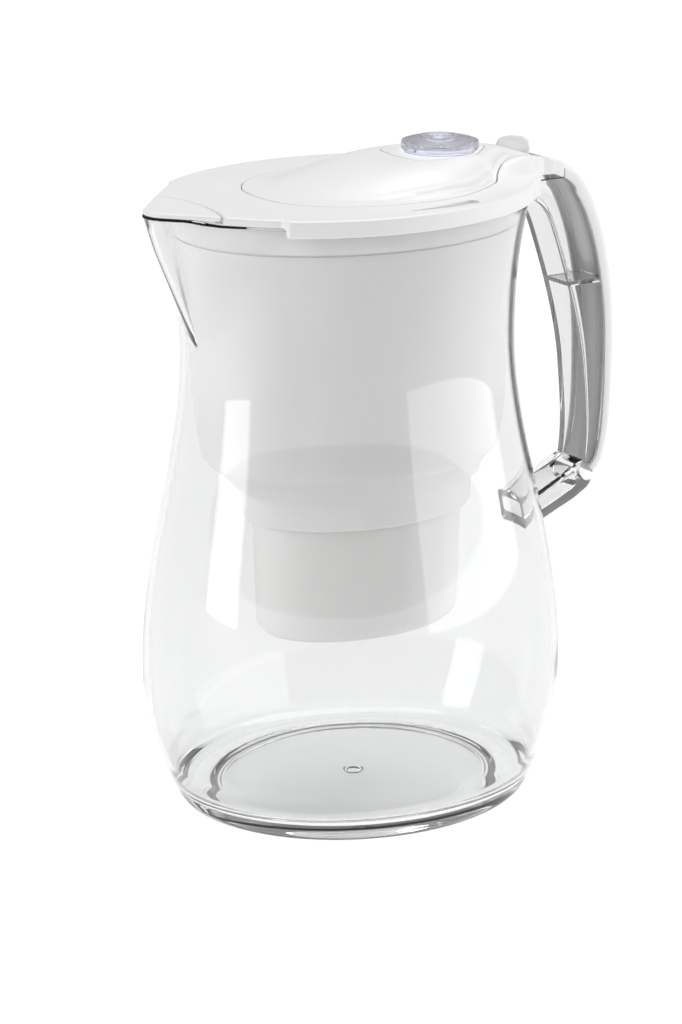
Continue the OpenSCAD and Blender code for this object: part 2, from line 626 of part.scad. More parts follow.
// Clear knob: a domed cap on a shaft, with finger notches round its edge
module counter_knob() {
    z = crown_z + 0.6 + play;
    side_top = z + knob_side;
    r_dome = (knob_r * knob_r + knob_dome * knob_dome) / (2 * knob_dome);
    color([0.75, 0.78, 0.86, 0.5]) difference() {
        translate([counter_x, 0, 0]) rotate_extrude($fn = 96) difference() {
            intersection() {
                union() {
                    translate([0, z]) square([knob_r, knob_side]);
                    translate([0, crown_z - 9]) square([shaft_r, 10 + knob_side]);
                    intersection() {
                        translate([0, side_top + knob_dome - r_dome]) circle(r = r_dome, $fn = 360);
                        translate([0, z + 1]) square([knob_r, 20]);
                    }
                }
                square([knob_r, 400]);
            }
            // Hollow under the dome, over the dial
            translate([shaft_r + 1, z - 1]) square([knob_r - 1.6 - shaft_r - 1, 2.6]);
        }
        for (i = [0:17]) translate([counter_x, 0, 0]) rotate([0, 0, 20 * i])
            translate([knob_r + 0.7, 0, z - 1]) cylinder(r = 1.3, h = 12, $fn = 24);
    }
}

// Friction washer that keeps the knob where it is set
module counter_washer() {
    color([0.6, 0.6, 0.6]) translate([counter_x, 0, crown_z - hatch_t - washer_t - 0.05]) difference() {
        cylinder(r = shaft_r + 3.6, h = washer_t);
        translate([0, 0, -1]) cylinder(r = shaft_r + 0.1, h = 5);
    }
}

// Spring clip that holds the knob's shaft under the hatch
module counter_clip() {
    z = crown_z - hatch_t - washer_t - 1.6;
    color([0.9, 0.9, 0.9]) translate([counter_x, 0, z]) difference() {
        cylinder(r = shaft_r + 4, h = 1.5);
        translate([0, 0, -1]) cylinder(r = shaft_r + 0.05, h = 5);
        translate([0, -0.8, -1]) cube([20, 1.6, 5]);
    }
}

// ---------------------------------------------------------------- funnel

function funnel_ring(a, b, z, cx) = raise(oval_line(a, b, cx), z);
waist_a = waist_len / 2 - wall - 0.9;
waist_b = waist_wid / 2 - wall - 0.9;

module funnel() {
    t = funnel_t;
    top_a = rim_len / 2 - 0.5;
    top_b = rim_wid / 2 - 0.5;
    neck_a = jug_a(rim_z - collar_h) - wall - play - 0.2;
    neck_b = jug_b(rim_z - collar_h) - wall - play - 0.2;
    wall_cx = jug_cx(rim_z);
    foot_cx = jug_cx(hopper_z);
    edge_a = hopper_len / 2;
    edge_b = hopper_wid / 2;
    pa = pocket_len / 2;
    pb = pocket_wid / 2;
    waist_cx = jug_cx(waist_z);
    rings = [
        funnel_ring(neck_a - t, neck_b - t, flange_z + flange_t, wall_cx),
        funnel_ring(top_a, top_b, flange_z + flange_t, wall_cx),
        funnel_ring(top_a, top_b, flange_z, wall_cx),
        funnel_ring(neck_a + 0.2, neck_b + 0.2, flange_z, wall_cx),
        funnel_ring(neck_a, neck_b, rim_z - collar_h, jug_cx(rim_z - collar_h)),
        funnel_ring(neck_a - 1.2, neck_b - 1.2, rim_z - collar_h - 0.6, jug_cx(rim_z - collar_h)),
        funnel_ring(mix(waist_a, neck_a, 0.35), mix(waist_b, neck_b, 0.35), mix(waist_z, rim_z, 0.45),
            jug_cx(mix(waist_z, rim_z, 0.45))),
        funnel_ring(waist_a, waist_b, waist_z, waist_cx),
        funnel_ring(mix(edge_a, waist_a, 0.25) + 0.6, mix(edge_b, waist_b, 0.25) + 0.6, hopper_z + 14, foot_cx),
        funnel_ring(edge_a, edge_b, hopper_z + 5, foot_cx),
        funnel_ring(edge_a - 1.4, edge_b - 1.4, hopper_z + 1.4, foot_cx),
        funnel_ring(edge_a - 5, edge_b - 5, hopper_z - 2, foot_cx),
        funnel_ring(pa + 2, pb + 2, pocket_top, cart_x),
        funnel_ring(pa + 0.3, pb + 0.3, pocket_top - 2.4, cart_x),
        funnel_ring(pa, pb, pocket_z, cart_x),
        funnel_ring(cart_len / 2 + play + 0.6, cart_wid / 2 + play + 0.6, pocket_z, cart_x),
        funnel_ring(cart_len / 2 + play + 0.6, cart_wid / 2 + play + 0.6, seat_z, cart_x),
        funnel_ring(pa - t, pb - t, seat_z, cart_x),
        funnel_ring(pa + 0.3 - t, pb + 0.3 - t, pocket_top - 1, cart_x),
        funnel_ring(pa + 2 - t, pb + 2 - t, pocket_top + 1.6, cart_x),
        funnel_ring(edge_a - 6, edge_b - 6, hopper_z + 0.2, foot_cx),
        funnel_ring(edge_a - t - 0.6, edge_b - t - 0.6, hopper_z + 5, foot_cx),
        funnel_ring(mix(edge_a, waist_a, 0.25) + 0.6 - t, mix(edge_b, waist_b, 0.25) + 0.6 - t, hopper_z + 14, foot_cx),
        funnel_ring(waist_a - t, waist_b - t, waist_z, waist_cx),
        funnel_ring(mix(waist_a, neck_a, 0.35) - t, mix(waist_b, neck_b, 0.35) - t, mix(waist_z, rim_z, 0.45),
            jug_cx(mix(waist_z, rim_z, 0.45))),
        funnel_ring(neck_a - 1.2 - t, neck_b - 1.2 - t, rim_z - collar_h - 0.6, jug_cx(rim_z - collar_h)),
    ];
    color([0.95, 0.95, 0.94]) skin(rings, caps = false, flip = true);
}

// ---------------------------------------------------------------- cartridge

function cart_ring(inset, z) = raise(oval_line(
    cart_len / 2 - cart_taper * max(0, (seat_z - z) / (seat_z - cart_z)) - inset,
    cart_wid / 2 - cart_taper * max(0, (seat_z - z) / (seat_z - cart_z)) - inset, cart_x), z);
rest_z = seat_z + seal_t + 0.1;

module cartridge_shell() {
    t = cart_t;
    color([0.9, 0.9, 0.89]) skin([
        cart_ring(t, cart_top), cart_ring(0, cart_top), cart_ring(0, rest_z + 1.6),
        cart_ring(-1.7, rest_z + 1.6), cart_ring(-1.7, rest_z), cart_ring(0, rest_z),
        cart_ring(0, seat_z), cart_ring(0, cart_z + 5), cart_ring(0.5, cart_z + 2.4),
        cart_ring(1.6, cart_z + 0.7), cart_ring(3.4, cart_z), cart_ring(7, cart_z),
        cart_ring(7, cart_z + t), cart_ring(t + 2, cart_z + t), cart_ring(t, cart_z + 4), cart_ring(t, seat_z)
    ], caps = false, flip = true);
}

module oval_plate(inset, z, h) {
    translate([0, 0, z]) linear_extrude(height = h) polygon(flat(cart_ring(inset, z)));
}

// Cap with the slots that let water in, and a grip to lift the cartridge by
module cartridge_cap() {
    z = cart_top - 3;
    color([0.92, 0.92, 0.91]) difference() {
        union() {
            oval_plate(cart_t + 0.2, z, 3);
            slab([[cart_x - 22, z + 2], [cart_x - 17, z + 3 + cart_grip - 3], [cart_x - 14, z + 3 + cart_grip],
                [cart_x + 14, z + 3 + cart_grip], [cart_x + 17, z + cart_grip], [cart_x + 22, z + 2]], 4);
        }
        slab([[cart_x - 12, z + 5], [cart_x - 10, z + cart_grip - 1], [cart_x + 10, z + cart_grip - 1],
            [cart_x + 12, z + 5]], 8);
        for (s = [-1, 1], i = [0:5])
            translate([cart_x - 30 + 12 * i - 1.2, s > 0 ? 8 : -8 - 12 + abs(i - 2.5) * 1.2, z - 1])
                cube([2.4, 12 - abs(i - 2.5) * 1.2, 6]);
    }
}

module inlet_screen() {
    color([0.8, 0.8, 0.78]) oval_plate(cart_t + 0.2, cart_top - 4, 0.8);
}

module filter_media() {
    color([0.25, 0.24, 0.23]) skin([for (z = [cart_z + 6, 90, 108, seat_z, cart_top - 4.2])
        cart_ring(cart_t + 0.2, z)]);
}

module outlet_screen() {
    color([0.8, 0.8, 0.78]) oval_plate(cart_t + 0.5, cart_z + 5, 0.8);
}

// Grille under the cartridge, with slots for the filtered water
module outlet_grille() {
    z = cart_z + cart_t + 0.1;
    color([0.9, 0.9, 0.89]) difference() {
        oval_plate(cart_t + 2.6, z, 1.6);
        for (s = [-1, 1], i = [0:6])
            translate([cart_x - 25.2 + 8 * i, s > 0 ? 3 : -17, z - 1]) cube([2.4, 14, 6]);
    }
}

// Soft ring that seals the cartridge in the pocket
module cartridge_seal() {
    color([0.55, 0.57, 0.6]) translate([0, 0, seat_z]) linear_extrude(height = seal_t) difference() {
        polygon(flat(cart_ring(-1.6, seat_z)));
        polygon(flat(cart_ring(-0.2, seat_z)));
    }
}

jug();
handle_cover();
lid();
spout_flap();
spout_flap_pin();
filling_hatch();
hatch_hinge_pin();
counter_panel();
counter_dial();
counter_knob();
counter_washer();
counter_clip();
funnel();
cartridge_seal();
cartridge_shell();
cartridge_cap();
inlet_screen();
filter_media();
outlet_screen();
outlet_grille();
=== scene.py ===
"""Looks of a water filter pitcher: a clear jug, a milky funnel with its cartridge, and a white flip lid."""

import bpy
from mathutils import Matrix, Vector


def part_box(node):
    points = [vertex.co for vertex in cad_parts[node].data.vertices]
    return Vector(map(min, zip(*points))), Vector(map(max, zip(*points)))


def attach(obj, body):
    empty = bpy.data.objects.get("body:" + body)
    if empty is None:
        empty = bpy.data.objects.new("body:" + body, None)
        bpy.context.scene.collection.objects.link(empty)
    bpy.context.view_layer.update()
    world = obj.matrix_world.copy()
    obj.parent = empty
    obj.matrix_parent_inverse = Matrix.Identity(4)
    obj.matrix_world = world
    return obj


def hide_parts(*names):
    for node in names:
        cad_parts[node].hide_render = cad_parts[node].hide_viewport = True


bl_info = {
    "name": "Filter Pitcher",
    "version": (1, 0, 0),
    "blender": (4, 5, 0),
    "location": "3D View > Sidebar > Pitcher",
    "description": "Builds a clear filter pitcher with a flip lid round its packed frame",
    "category": "Object",
}

from math import atan2, cos, pi, radians, sin, sqrt

import bmesh
import bpy
import numpy as np
from bpy.props import FloatProperty, FloatVectorProperty, IntProperty, PointerProperty
from mathutils import Matrix, Vector

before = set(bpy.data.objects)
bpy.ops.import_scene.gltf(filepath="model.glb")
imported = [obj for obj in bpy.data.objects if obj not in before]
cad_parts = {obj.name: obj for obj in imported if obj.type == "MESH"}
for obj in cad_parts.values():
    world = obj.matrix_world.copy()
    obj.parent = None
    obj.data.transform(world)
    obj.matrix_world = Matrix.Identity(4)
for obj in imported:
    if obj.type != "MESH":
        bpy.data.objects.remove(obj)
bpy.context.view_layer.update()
MM = 0.001  # scene.py counts in millimetres, Blender in metres
SMOOTH_ANGLE = 32  # edges sharper than this stay sharp, in degrees


def top_of(node):
    """Height of a CAD node's top, in millimetres."""
    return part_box(node)[1].z / MM


def low_of(node):
    """Height of a CAD node's underside, in millimetres."""
    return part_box(node)[0].z / MM


# ------------------------------------------------------------------ properties


def length(name, description, default):
    """A size in millimetres."""
    return FloatProperty(name=name, description=description, default=default, min=0.0)


def number(name, description, default):
    """A share, an angle or a strength."""
    return FloatProperty(name=name, description=description, default=default)


def tint(name, description, default):
    """A colour that a user may change."""
    return FloatVectorProperty(
        name=name, description=description, default=default, subtype="COLOR", min=0.0, max=1.0
    )


class JugSizes(bpy.types.PropertyGroup):
    rim_z: length("Rim height", "Height of the rim above the table", 257.5)
    rim_len: length("Rim length", "Length of the rim along the pouring axis", 163)
    rim_wid: length("Rim width", "Width of the rim", 127)
    rim_shift: length("Rim shift", "Shift of the rim's middle towards the spout", 3)
    waist_z: length("Waist height", "Height of the narrow waist", 197)
    waist_len: length("Waist length", "Length of the waist", 147)
    waist_wid: length("Waist width", "Width of the waist", 120)
    belly_z: length("Belly height", "Height of the widest part", 56)
    belly_len: length("Belly length", "Length of the belly", 185)
    belly_wid: length("Belly width", "Width of the belly", 159)
    foot_len: length("Foot length", "Length of the foot", 152)
    foot_wid: length("Foot width", "Width of the foot", 136)
    wall: length("Wall", "Thickness of the clear wall", 2.6)
    heel_r: length("Heel radius", "Radius round the foot", 4)
    push_up: length("Hollow under the base", "Height of the hollow under the base", 4.5)
    foot_ring: length("Foot ring", "Width of the ring that the jug stands on", 7)
    floor_t: length("Floor", "Thickness of the floor", 3.2)
    spout_reach: length("Spout reach", "Distance from the middle to the spout's tip", 98.6)
    keel_slope: number("Keel slope", "Run of the keel for each unit down", 0.427)
    nose_r: length("Nose radius", "Radius of the spout's nose", 11)
    lip_rise: length("Lip rise", "Height that the rim rises by at the spout", 3.2)


class HandleSizes(bpy.types.PropertyGroup):
    grip_wid: length("Grip width", "Width of the clear channel", 20)
    grip_t: length("Channel wall", "Thickness of the channel's web and sides", 2.3)
    root_z: length("Root height", "Height of the top of the handle's root", 256.2)
    rib_z: length("Rib height", "Height of the rib across the channel", 209)
    rib_t: length("Rib thickness", "Thickness of that rib", 2)
    cover_wid: length("Cover width", "Width of the cover over the handle's back", 24.6)
    cover_t: length("Cover thickness", "Thickness of the cover", 1.9)
    cover_deep: length("Deep sides", "Depth of the cover's sides at the top", 7.2)
    cover_shallow: length("Shallow sides", "Depth of the cover's sides at the foot", 4.4)
    cover_crown: length("Crown", "Height that the cover's back is crowned by", 0.8)


class LidSizes(bpy.types.PropertyGroup):
    plate_z: length("Plate top", "Height of the top of the lid's plate", top_of("spout_flap"))
    lid_t: length("Plate thickness", "Thickness of the lid's plate", 3.2)
    skirt_t: length("Skirt thickness", "Thickness of the skirt", 1.6)
    skirt_z: length("Skirt foot", "Height of the skirt's lower edge", low_of("lid"))
    skirt_front: length("Skirt front", "Where the skirt ends beside the spout", 61)
    neck_wid: length("Neck half width", "Half width of the lid where the neck begins", 32)
    neck_end: length("Neck end", "Where the neck meets the handle's cover", 98.6)
    neck_rise: length("Neck rise", "Height of the neck above the plate", 6.6)
    play: length("Gap", "Gap between pieces that lift or turn", 0.3)


class HatchSizes(bpy.types.PropertyGroup):
    hatch_rise: length("Crown rise", "Height of the crown above the plate", 9.9)
    band_share: number("Rim share", "Share of the way to the crown that the flat rim takes", 0.18)
    band_rise: length("Rim rise", "Rise of the hatch over its flat rim", 0.6)
    hatch_t: length("Shell", "Thickness of the hatch's shell", 1.8)
    strip_wid: length("Strip width", "Width of the strip between the cheeks", 27.4)
    strip_end: length("Strip end", "Where the strip ends", 80.6)
    hinge_x: length("Hinge place", "Distance of the hinge from the middle", 72)
    crown_x: length("Crown middle", "Middle of the crown", 38)
    tab_wid: length("Tab width", "Width of the thumb tab", 21)
    tab_rise: length("Tab rise", "Height of the thumb tab above the neck", 4.8)


class CounterSizes(bpy.types.PropertyGroup):
    counter_x: length("Counter place", "Distance of the counter from the middle", 43)
    knob_r: length("Knob radius", "Radius of the clear knob", 16.3)
    knob_side: length("Knob side", "Height of the knob's side", 3.4)
    knob_dome: length("Knob dome", "Height of the dome above the side", 2.4)
    shaft_r: length("Shaft radius", "Radius of the knob's shaft", 2.4)
    months: IntProperty(name="Months", description="Number of months on the dial", default=12, min=4, max=12)


class FunnelSizes(bpy.types.PropertyGroup):
    funnel_t: length("Wall", "Thickness of the funnel's wall", 1.8)
    collar_h: length("Collar", "Depth of the collar in the jug's neck", 9.6)
    hopper_z: length("Hopper edge", "Height of the lower edge of the side", 149)
    hopper_len: length("Hopper length", "Length at the lower edge", 131)
    hopper_wid: length("Hopper width", "Width at the lower edge", 108)
    pocket_top: length("Pocket top", "Height of the top of the pocket", 138)
    pocket_z: length("Pocket underside", "Height of the pocket's underside", 125)
    pocket_len: length("Pocket length", "Length of the pocket", 104)
    pocket_wid: length("Pocket width", "Width of the pocket", 74)
    cart_len: length("Cartridge length", "Length of the cartridge under the pocket", 96)
    cart_wid: length("Cartridge width", "Width of the cartridge under the pocket", 66)
    cart_z: length("Cartridge underside", "Height of the cartridge's underside", 74)
    cart_top: length("Cartridge rim", "Height of the cartridge's rim", 158)
    cart_t: length("Cartridge wall", "Thickness of the cartridge's wall", 1.6)
    cart_taper: length("Cartridge taper", "Taper of each side towards the foot", 1.6)
    cart_x: length("Cartridge middle", "Place of the cartridge's middle", 2)


class Finishes(bpy.types.PropertyGroup):
    clear: tint("Clear plastic", "Tint of the clear jug", (0.877, 0.879, 0.882))
    white: tint("White plastic", "Colour of the lid and the cover", (0.785, 0.785, 0.78))
    milky: tint("Milky plastic", "Colour of the funnel", (0.88, 0.877, 0.86))
    inner: tint("Inner plastic", "Colour of the cartridge", (0.87, 0.868, 0.85))
    lens: tint("Knob", "Tint of the clear knob", (0.83, 0.83, 0.865))
    dial: tint("Dial", "Colour of the dial", (0.62, 0.64, 0.70))
    ink: tint("Numbers", "Colour of the dial's numbers", (0.10, 0.11, 0.16))
    rubber: tint("Seal", "Colour of the soft seal", (0.45, 0.47, 0.50))
    screen: tint("Screen", "Colour of the woven screens", (0.75, 0.75, 0.73))
    granules: tint("Granules", "Colour of the filter granules", (0.05, 0.048, 0.045))
    steel: tint("Pins", "Colour of the hinge pins", (0.62, 0.62, 0.63))
    table: tint("Table", "Colour of the floor", (0.36, 0.36, 0.36))


class Studio(bpy.types.PropertyGroup):
    azimuth: number("Azimuth", "Bearing of the view from the pouring plane", -32.866)
    elevation: number("Elevation", "Height of the view, in degrees", 16.445)
    distance: length("Distance", "Distance of the camera from its target", 1555.1)
    target_z: length("Target height", "Height that the camera looks at", 130)
    focal: number("Focal length", "In picture heights", 3.59732)
    target_u: number("Target across", "Where the target lies across the picture", 353.21)
    target_v: number("Target down", "Where the target lies down the picture", 493.43)
    sky: number("Room light", "Strength of the room's even light", 0.2)
    top: number("Top light", "Strength of the soft light from above", 2.7)
    glow: number("Floor glow", "Light that the floor gives by itself", 0.68)


GROUPS = {
    "jug": JugSizes,
    "handle": HandleSizes,
    "lid": LidSizes,
    "hatch": HatchSizes,
    "counter": CounterSizes,
    "funnel": FunnelSizes,
    "finish": Finishes,
    "studio": Studio,
}


class PitcherSettings(bpy.types.PropertyGroup):
    """Every group of sizes and colours."""

    jug: PointerProperty(type=JugSizes)
    handle: PointerProperty(type=HandleSizes)
    lid: PointerProperty(type=LidSizes)
    hatch: PointerProperty(type=HatchSizes)
    counter: PointerProperty(type=CounterSizes)
    funnel: PointerProperty(type=FunnelSizes)
    finish: PointerProperty(type=Finishes)
    studio: PointerProperty(type=Studio)


def settings():
    """The scene's settings for this pitcher."""
    return bpy.context.scene.pitcher


# ------------------------------------------------------------------ curves


def mix(a, b, t):
    """The value a share t of the way from a to b."""
    return a + (b - a) * t


def ease(t):
    """A smooth step from 0 to 1."""
    t = np.clip(t, 0.0, 1.0)
    return t * t * (3 - 2 * t)


def along(x, stops):
    """A value read at x from (place, value) stops, with smooth joins."""
    xs, ys = np.array(stops, float).T
    slopes = np.gradient(ys, xs)
    x = np.clip(x, xs[0], xs[-1])
    k = np.clip(np.searchsorted(xs, x) - 1, 0, len(xs) - 2)
    h = xs[k + 1] - xs[k]
    t = (x - xs[k]) / h
    return (
        (1 + 2 * t) * (1 - t) ** 2 * ys[k]
        + t * (1 - t) ** 2 * h * slopes[k]
        + t * t * (3 - 2 * t) * ys[k + 1]
        + t * t * (t - 1) * h * slopes[k + 1]
    )


def chain(points, count):
    """Points on a chain of cubic curves that share their end points."""
    points = np.array(points, float)
    pieces = (len(points) - 1) // 3
    line = []
    for i in range(count + 1):
        s = i / count * pieces
        k = min(int(s), pieces - 1)
        t = s - k
        a, b, c, d = points[3 * k : 3 * k + 4]
        line.append((1 - t) ** 3 * a + 3 * (1 - t) ** 2 * t * b + 3 * (1 - t) * t * t * c + t**3 * d)
    return np.array(line)


def beside(line, distance):
    """A line moved sideways, to the left of its run."""
    run = np.gradient(line, axis=0)
    run /= np.linalg.norm(run, axis=1)[:, None]
    return line + distance * np.stack([-run[:, 1], run[:, 0]], 1)


def resample(line, count):
    """The same line with evenly spaced points."""
    steps = np.r_[0, np.cumsum(np.linalg.norm(np.diff(line, axis=0), axis=1))]
    at = np.linspace(0, steps[-1], count)
    return np.stack([np.interp(at, steps, line[:, k]) for k in range(2)], 1)


def oval(a, b, angle):
    """Distance from the middle of an oval to its edge."""
    return a * b / np.hypot(b * np.cos(angle), a * np.sin(angle))


def prow(a, b, d, r, angle):
    """The same for an oval with a round nose at distance d on its -X side, joined by tangents."""
    angle = np.asarray(angle, float) % (2 * pi)
    base = oval(a, b, angle)
    if d + r <= a:
        return base
    t = np.where(angle > pi, 2 * pi - angle, angle)
    qa = a * a - b * b - d * d
    qb = 2 * r * d
    c = (-qb + sqrt(qb * qb - 4 * qa * (b * b - r * r))) / (2 * qa)
    s = sqrt(1 - c * c)
    leave = atan2(b * b * s, a * a * c)
    land = atan2(r * s, r * c - d)
    side = (r - d * c) / np.cos(np.clip(t, leave, land) - np.arccos(c))
    nose = d * np.cos(pi - t) + np.sqrt(np.maximum(r * r - (d * np.sin(pi - t)) ** 2, 0))
    return np.where(t <= leave, base, np.where(t < land, side, nose))


def reach(outline, middle, angles):
    """Distance from a point inside an outline to the outline, along each bearing."""
    p = np.asarray(outline, float) - middle
    q = np.roll(p, -1, axis=0)
    edge = q - p
    found = np.full(len(angles), np.inf)
    for i, angle in enumerate(angles):
        ray = np.array([cos(angle), sin(angle)])
        across = ray[0] * edge[:, 1] - ray[1] * edge[:, 0]
        across = np.where(np.abs(across) < 1e-12, 1e-12, across)
        far = (p[:, 0] * edge[:, 1] - p[:, 1] * edge[:, 0]) / across
        share = (p[:, 0] * ray[1] - p[:, 1] * ray[0]) / across
        hit = (share >= -1e-9) & (share <= 1 + 1e-9) & (far > 0)
        if hit.any():
            found[i] = far[hit].max()
    if not np.isfinite(found).all():
        raise RuntimeError("the middle lies outside the outline")
    return found


def polar(middle, radius, angles):
    """Points at a distance and bearing from a point."""
    return np.stack([middle[0] + radius * np.cos(angles), middle[1] + radius * np.sin(angles)], 1)


def ring(points, z):
    """Points of a plan lifted to a height, or to a height each."""
    return np.column_stack([points, np.broadcast_to(z, len(points))])


class Rings:
    """Rows of a loft round one middle, along the same bearings."""

    def __init__(self, middle, angles):
        self.middle = middle
        self.angles = angles
        self.rows = []

    def plan(self, radius):
        """Points at a distance from the middle along each bearing."""
        return polar(self.middle, radius, self.angles)

    def put(self, radius, z):
        """Adds a ring at a distance and a height."""
        self.rows.append(ring(self.plan(radius), z))


# ------------------------------------------------------------------ meshes


def finish_mesh(bm, name, body, material, replaced=(), angle=SMOOTH_ANGLE):
    """Makes the object of a finished bmesh and hangs it on its CAD body."""
    mesh = bpy.data.meshes.new(name)
    bm.to_mesh(mesh)
    bm.free()
    obj = bpy.data.objects.new(name, mesh)
    bpy.context.scene.collection.objects.link(obj)
    dress(obj, body, material, replaced, angle)
    return obj


def dress(obj, body, material, replaced=(), angle=SMOOTH_ANGLE):
    """Gives a piece its smooth shading, finish and body."""
    mesh = obj.data
    mesh.shade_smooth()
    mesh.set_sharp_from_angle(angle=radians(angle))
    mesh.materials.clear()
    mesh.materials.append(material)
    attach(obj, body)
    if replaced:
        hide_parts(*replaced)


def loft(rows, closed=False):
    """A bmesh through rows of points, each row a closed ring. Closed joins the last row to the first."""
    rows = np.asarray(rows, float) * MM
    if closed:
        rows = np.concatenate([rows, rows[:1]])
    rows = np.concatenate([rows, rows[:, :1]], axis=1)
    m, n = rows.shape[:2]
    bm = bmesh.new()
    bmesh.ops.create_grid(bm, x_segments=n - 1, y_segments=m - 1, size=1.0)
    for v in bm.verts:
        i = round((v.co.x + 1) / 2 * (n - 1))
        j = round((v.co.y + 1) / 2 * (m - 1))
        v.co = rows[j, i]
    bmesh.ops.remove_doubles(bm, verts=bm.verts, dist=2e-7)
    if not closed:
        open_edges = [e for e in bm.edges if e.is_boundary]
        bmesh.ops.holes_fill(bm, edges=open_edges, sides=0)
    bmesh.ops.recalc_face_normals(bm, faces=bm.faces)
    return bm


def solid(bm, name):
    """An object of a bmesh, for use as a tool."""
    mesh = bpy.data.meshes.new(name)
    bm.to_mesh(mesh)
    bm.free()
    obj = bpy.data.objects.new(name, mesh)
    bpy.context.scene.collection.objects.link(obj)
    return obj


def combine(base, *tools):
    """Joins or cuts solids into base. Each tool is (object, "UNION", "DIFFERENCE" or "INTERSECT")."""
    for tool, operation in tools:
        cut = base.modifiers.new("join", "BOOLEAN")
        cut.operation = operation
        cut.solver = "EXACT"
        cut.object = tool
        seen = base.evaluated_get(bpy.context.evaluated_depsgraph_get())
        mesh = bpy.data.meshes.new_from_object(seen)
        base.modifiers.remove(cut)
        if not mesh.polygons:
            raise RuntimeError(f"{base.name} came out empty")
        base.data = mesh
        bpy.data.objects.remove(tool)
    return base


# ------------------------------------------------------------------ jug


TURNS = 168  # columns round the jug


def jug_bearings(count=TURNS):
    """Bearings round the jug, closest together at the spout."""
    u = 2 * np.arange(1, count + 1) / count - 1
    return np.radians(180 * (1 - np.sign(u) * np.abs(u) ** 1.25))


def side(z, foot, belly, waist, rim):
    """Half of the jug's size at a height."""
    s = settings().jug
    if z <= s.belly_z:
        return mix(foot, belly, sin(pi / 2 * max(z, 0) / s.belly_z)) / 2
    if z <= s.waist_z:
        swing = (1 + cos(pi * (z - s.belly_z) / (s.waist_z - s.belly_z))) / 2
        return mix(waist, belly, swing**0.9) / 2
    return mix(waist, rim, ((z - s.waist_z) / (s.rim_z - s.waist_z)) ** 2.3) / 2


def jug_a(z):
    """Half length of the jug at a height."""
    s = settings().jug
    return side(z, s.foot_len, s.belly_len, s.waist_len, s.rim_len)


def jug_b(z):
    """Half width of the jug at a height."""
    s = settings().jug
    return side(z, s.foot_wid, s.belly_wid, s.waist_wid, s.rim_wid)


def jug_cx(z):
    """Middle of the jug at a height."""
    s = settings().jug
    return -s.rim_shift * z / s.rim_z


def nose_d(z):
    """Distance of the spout's nose from the middle, at a height."""
    s = settings().jug
    return s.spout_reach - s.keel_slope * (s.rim_z - z) + jug_cx(z) - s.nose_r


def jug_line(z, inset, angles):
    """Plan of the jug at a height, set in from its outside."""
    s = settings().jug
    radius = prow(jug_a(z) - inset, jug_b(z) - inset, nose_d(z), s.nose_r - inset, angles)
    return polar((jug_cx(z), 0), radius, angles)


def oval_line(a, b, cx, angles):
    """Plan of an oval."""
    return polar((cx, 0), oval(a, b, angles), angles)


LIP_SPREAD = 41  # degrees either side of the spout that the rim is raised over
FLANGE_SPREAD = 44  # degrees that the funnel's flange stops short over, so that it clears the raised rim
LIP_BESIDE = 1.8  # how far the rim rises beside the spout, up to the lid's plate
LIP_BLEND = 14  # height over which the walls follow the rim's rise
LIP_ROUND = 1.2  # rounding of the rim
FLOOR_BEND = 9.0  # radius between the inner wall and the floor
BASE_RISE = 8  # width of the step from the foot ring up to the hollow base
GATE_MARK = ((0.1, 0.8), (1.6, 0.8), (2.4, 0.4), (2.8, -0.7), (3.8, -0.7), (4.3, 0))  # radius, height


def spout_side(angles, spread):
    """1 on the spout's side of the jug, within a spread of bearings, and 0 elsewhere."""
    return ease((spread - np.degrees(np.abs(np.asarray(angles) % (2 * pi) - pi))) / 4)


def lip_lift(angles, inset=0.0):
    """Height that the rim rises by at each bearing: nothing where the funnel rests, most at the spout."""
    s = settings().jug
    z = s.rim_z
    beyond = prow(jug_a(z), jug_b(z), nose_d(z), s.nose_r, angles) - oval(jug_a(z), jug_b(z), angles) - inset
    return LIP_BESIDE * spout_side(angles, LIP_SPREAD) + (s.lip_rise - LIP_BESIDE) * ease((beyond - 1) / 5)


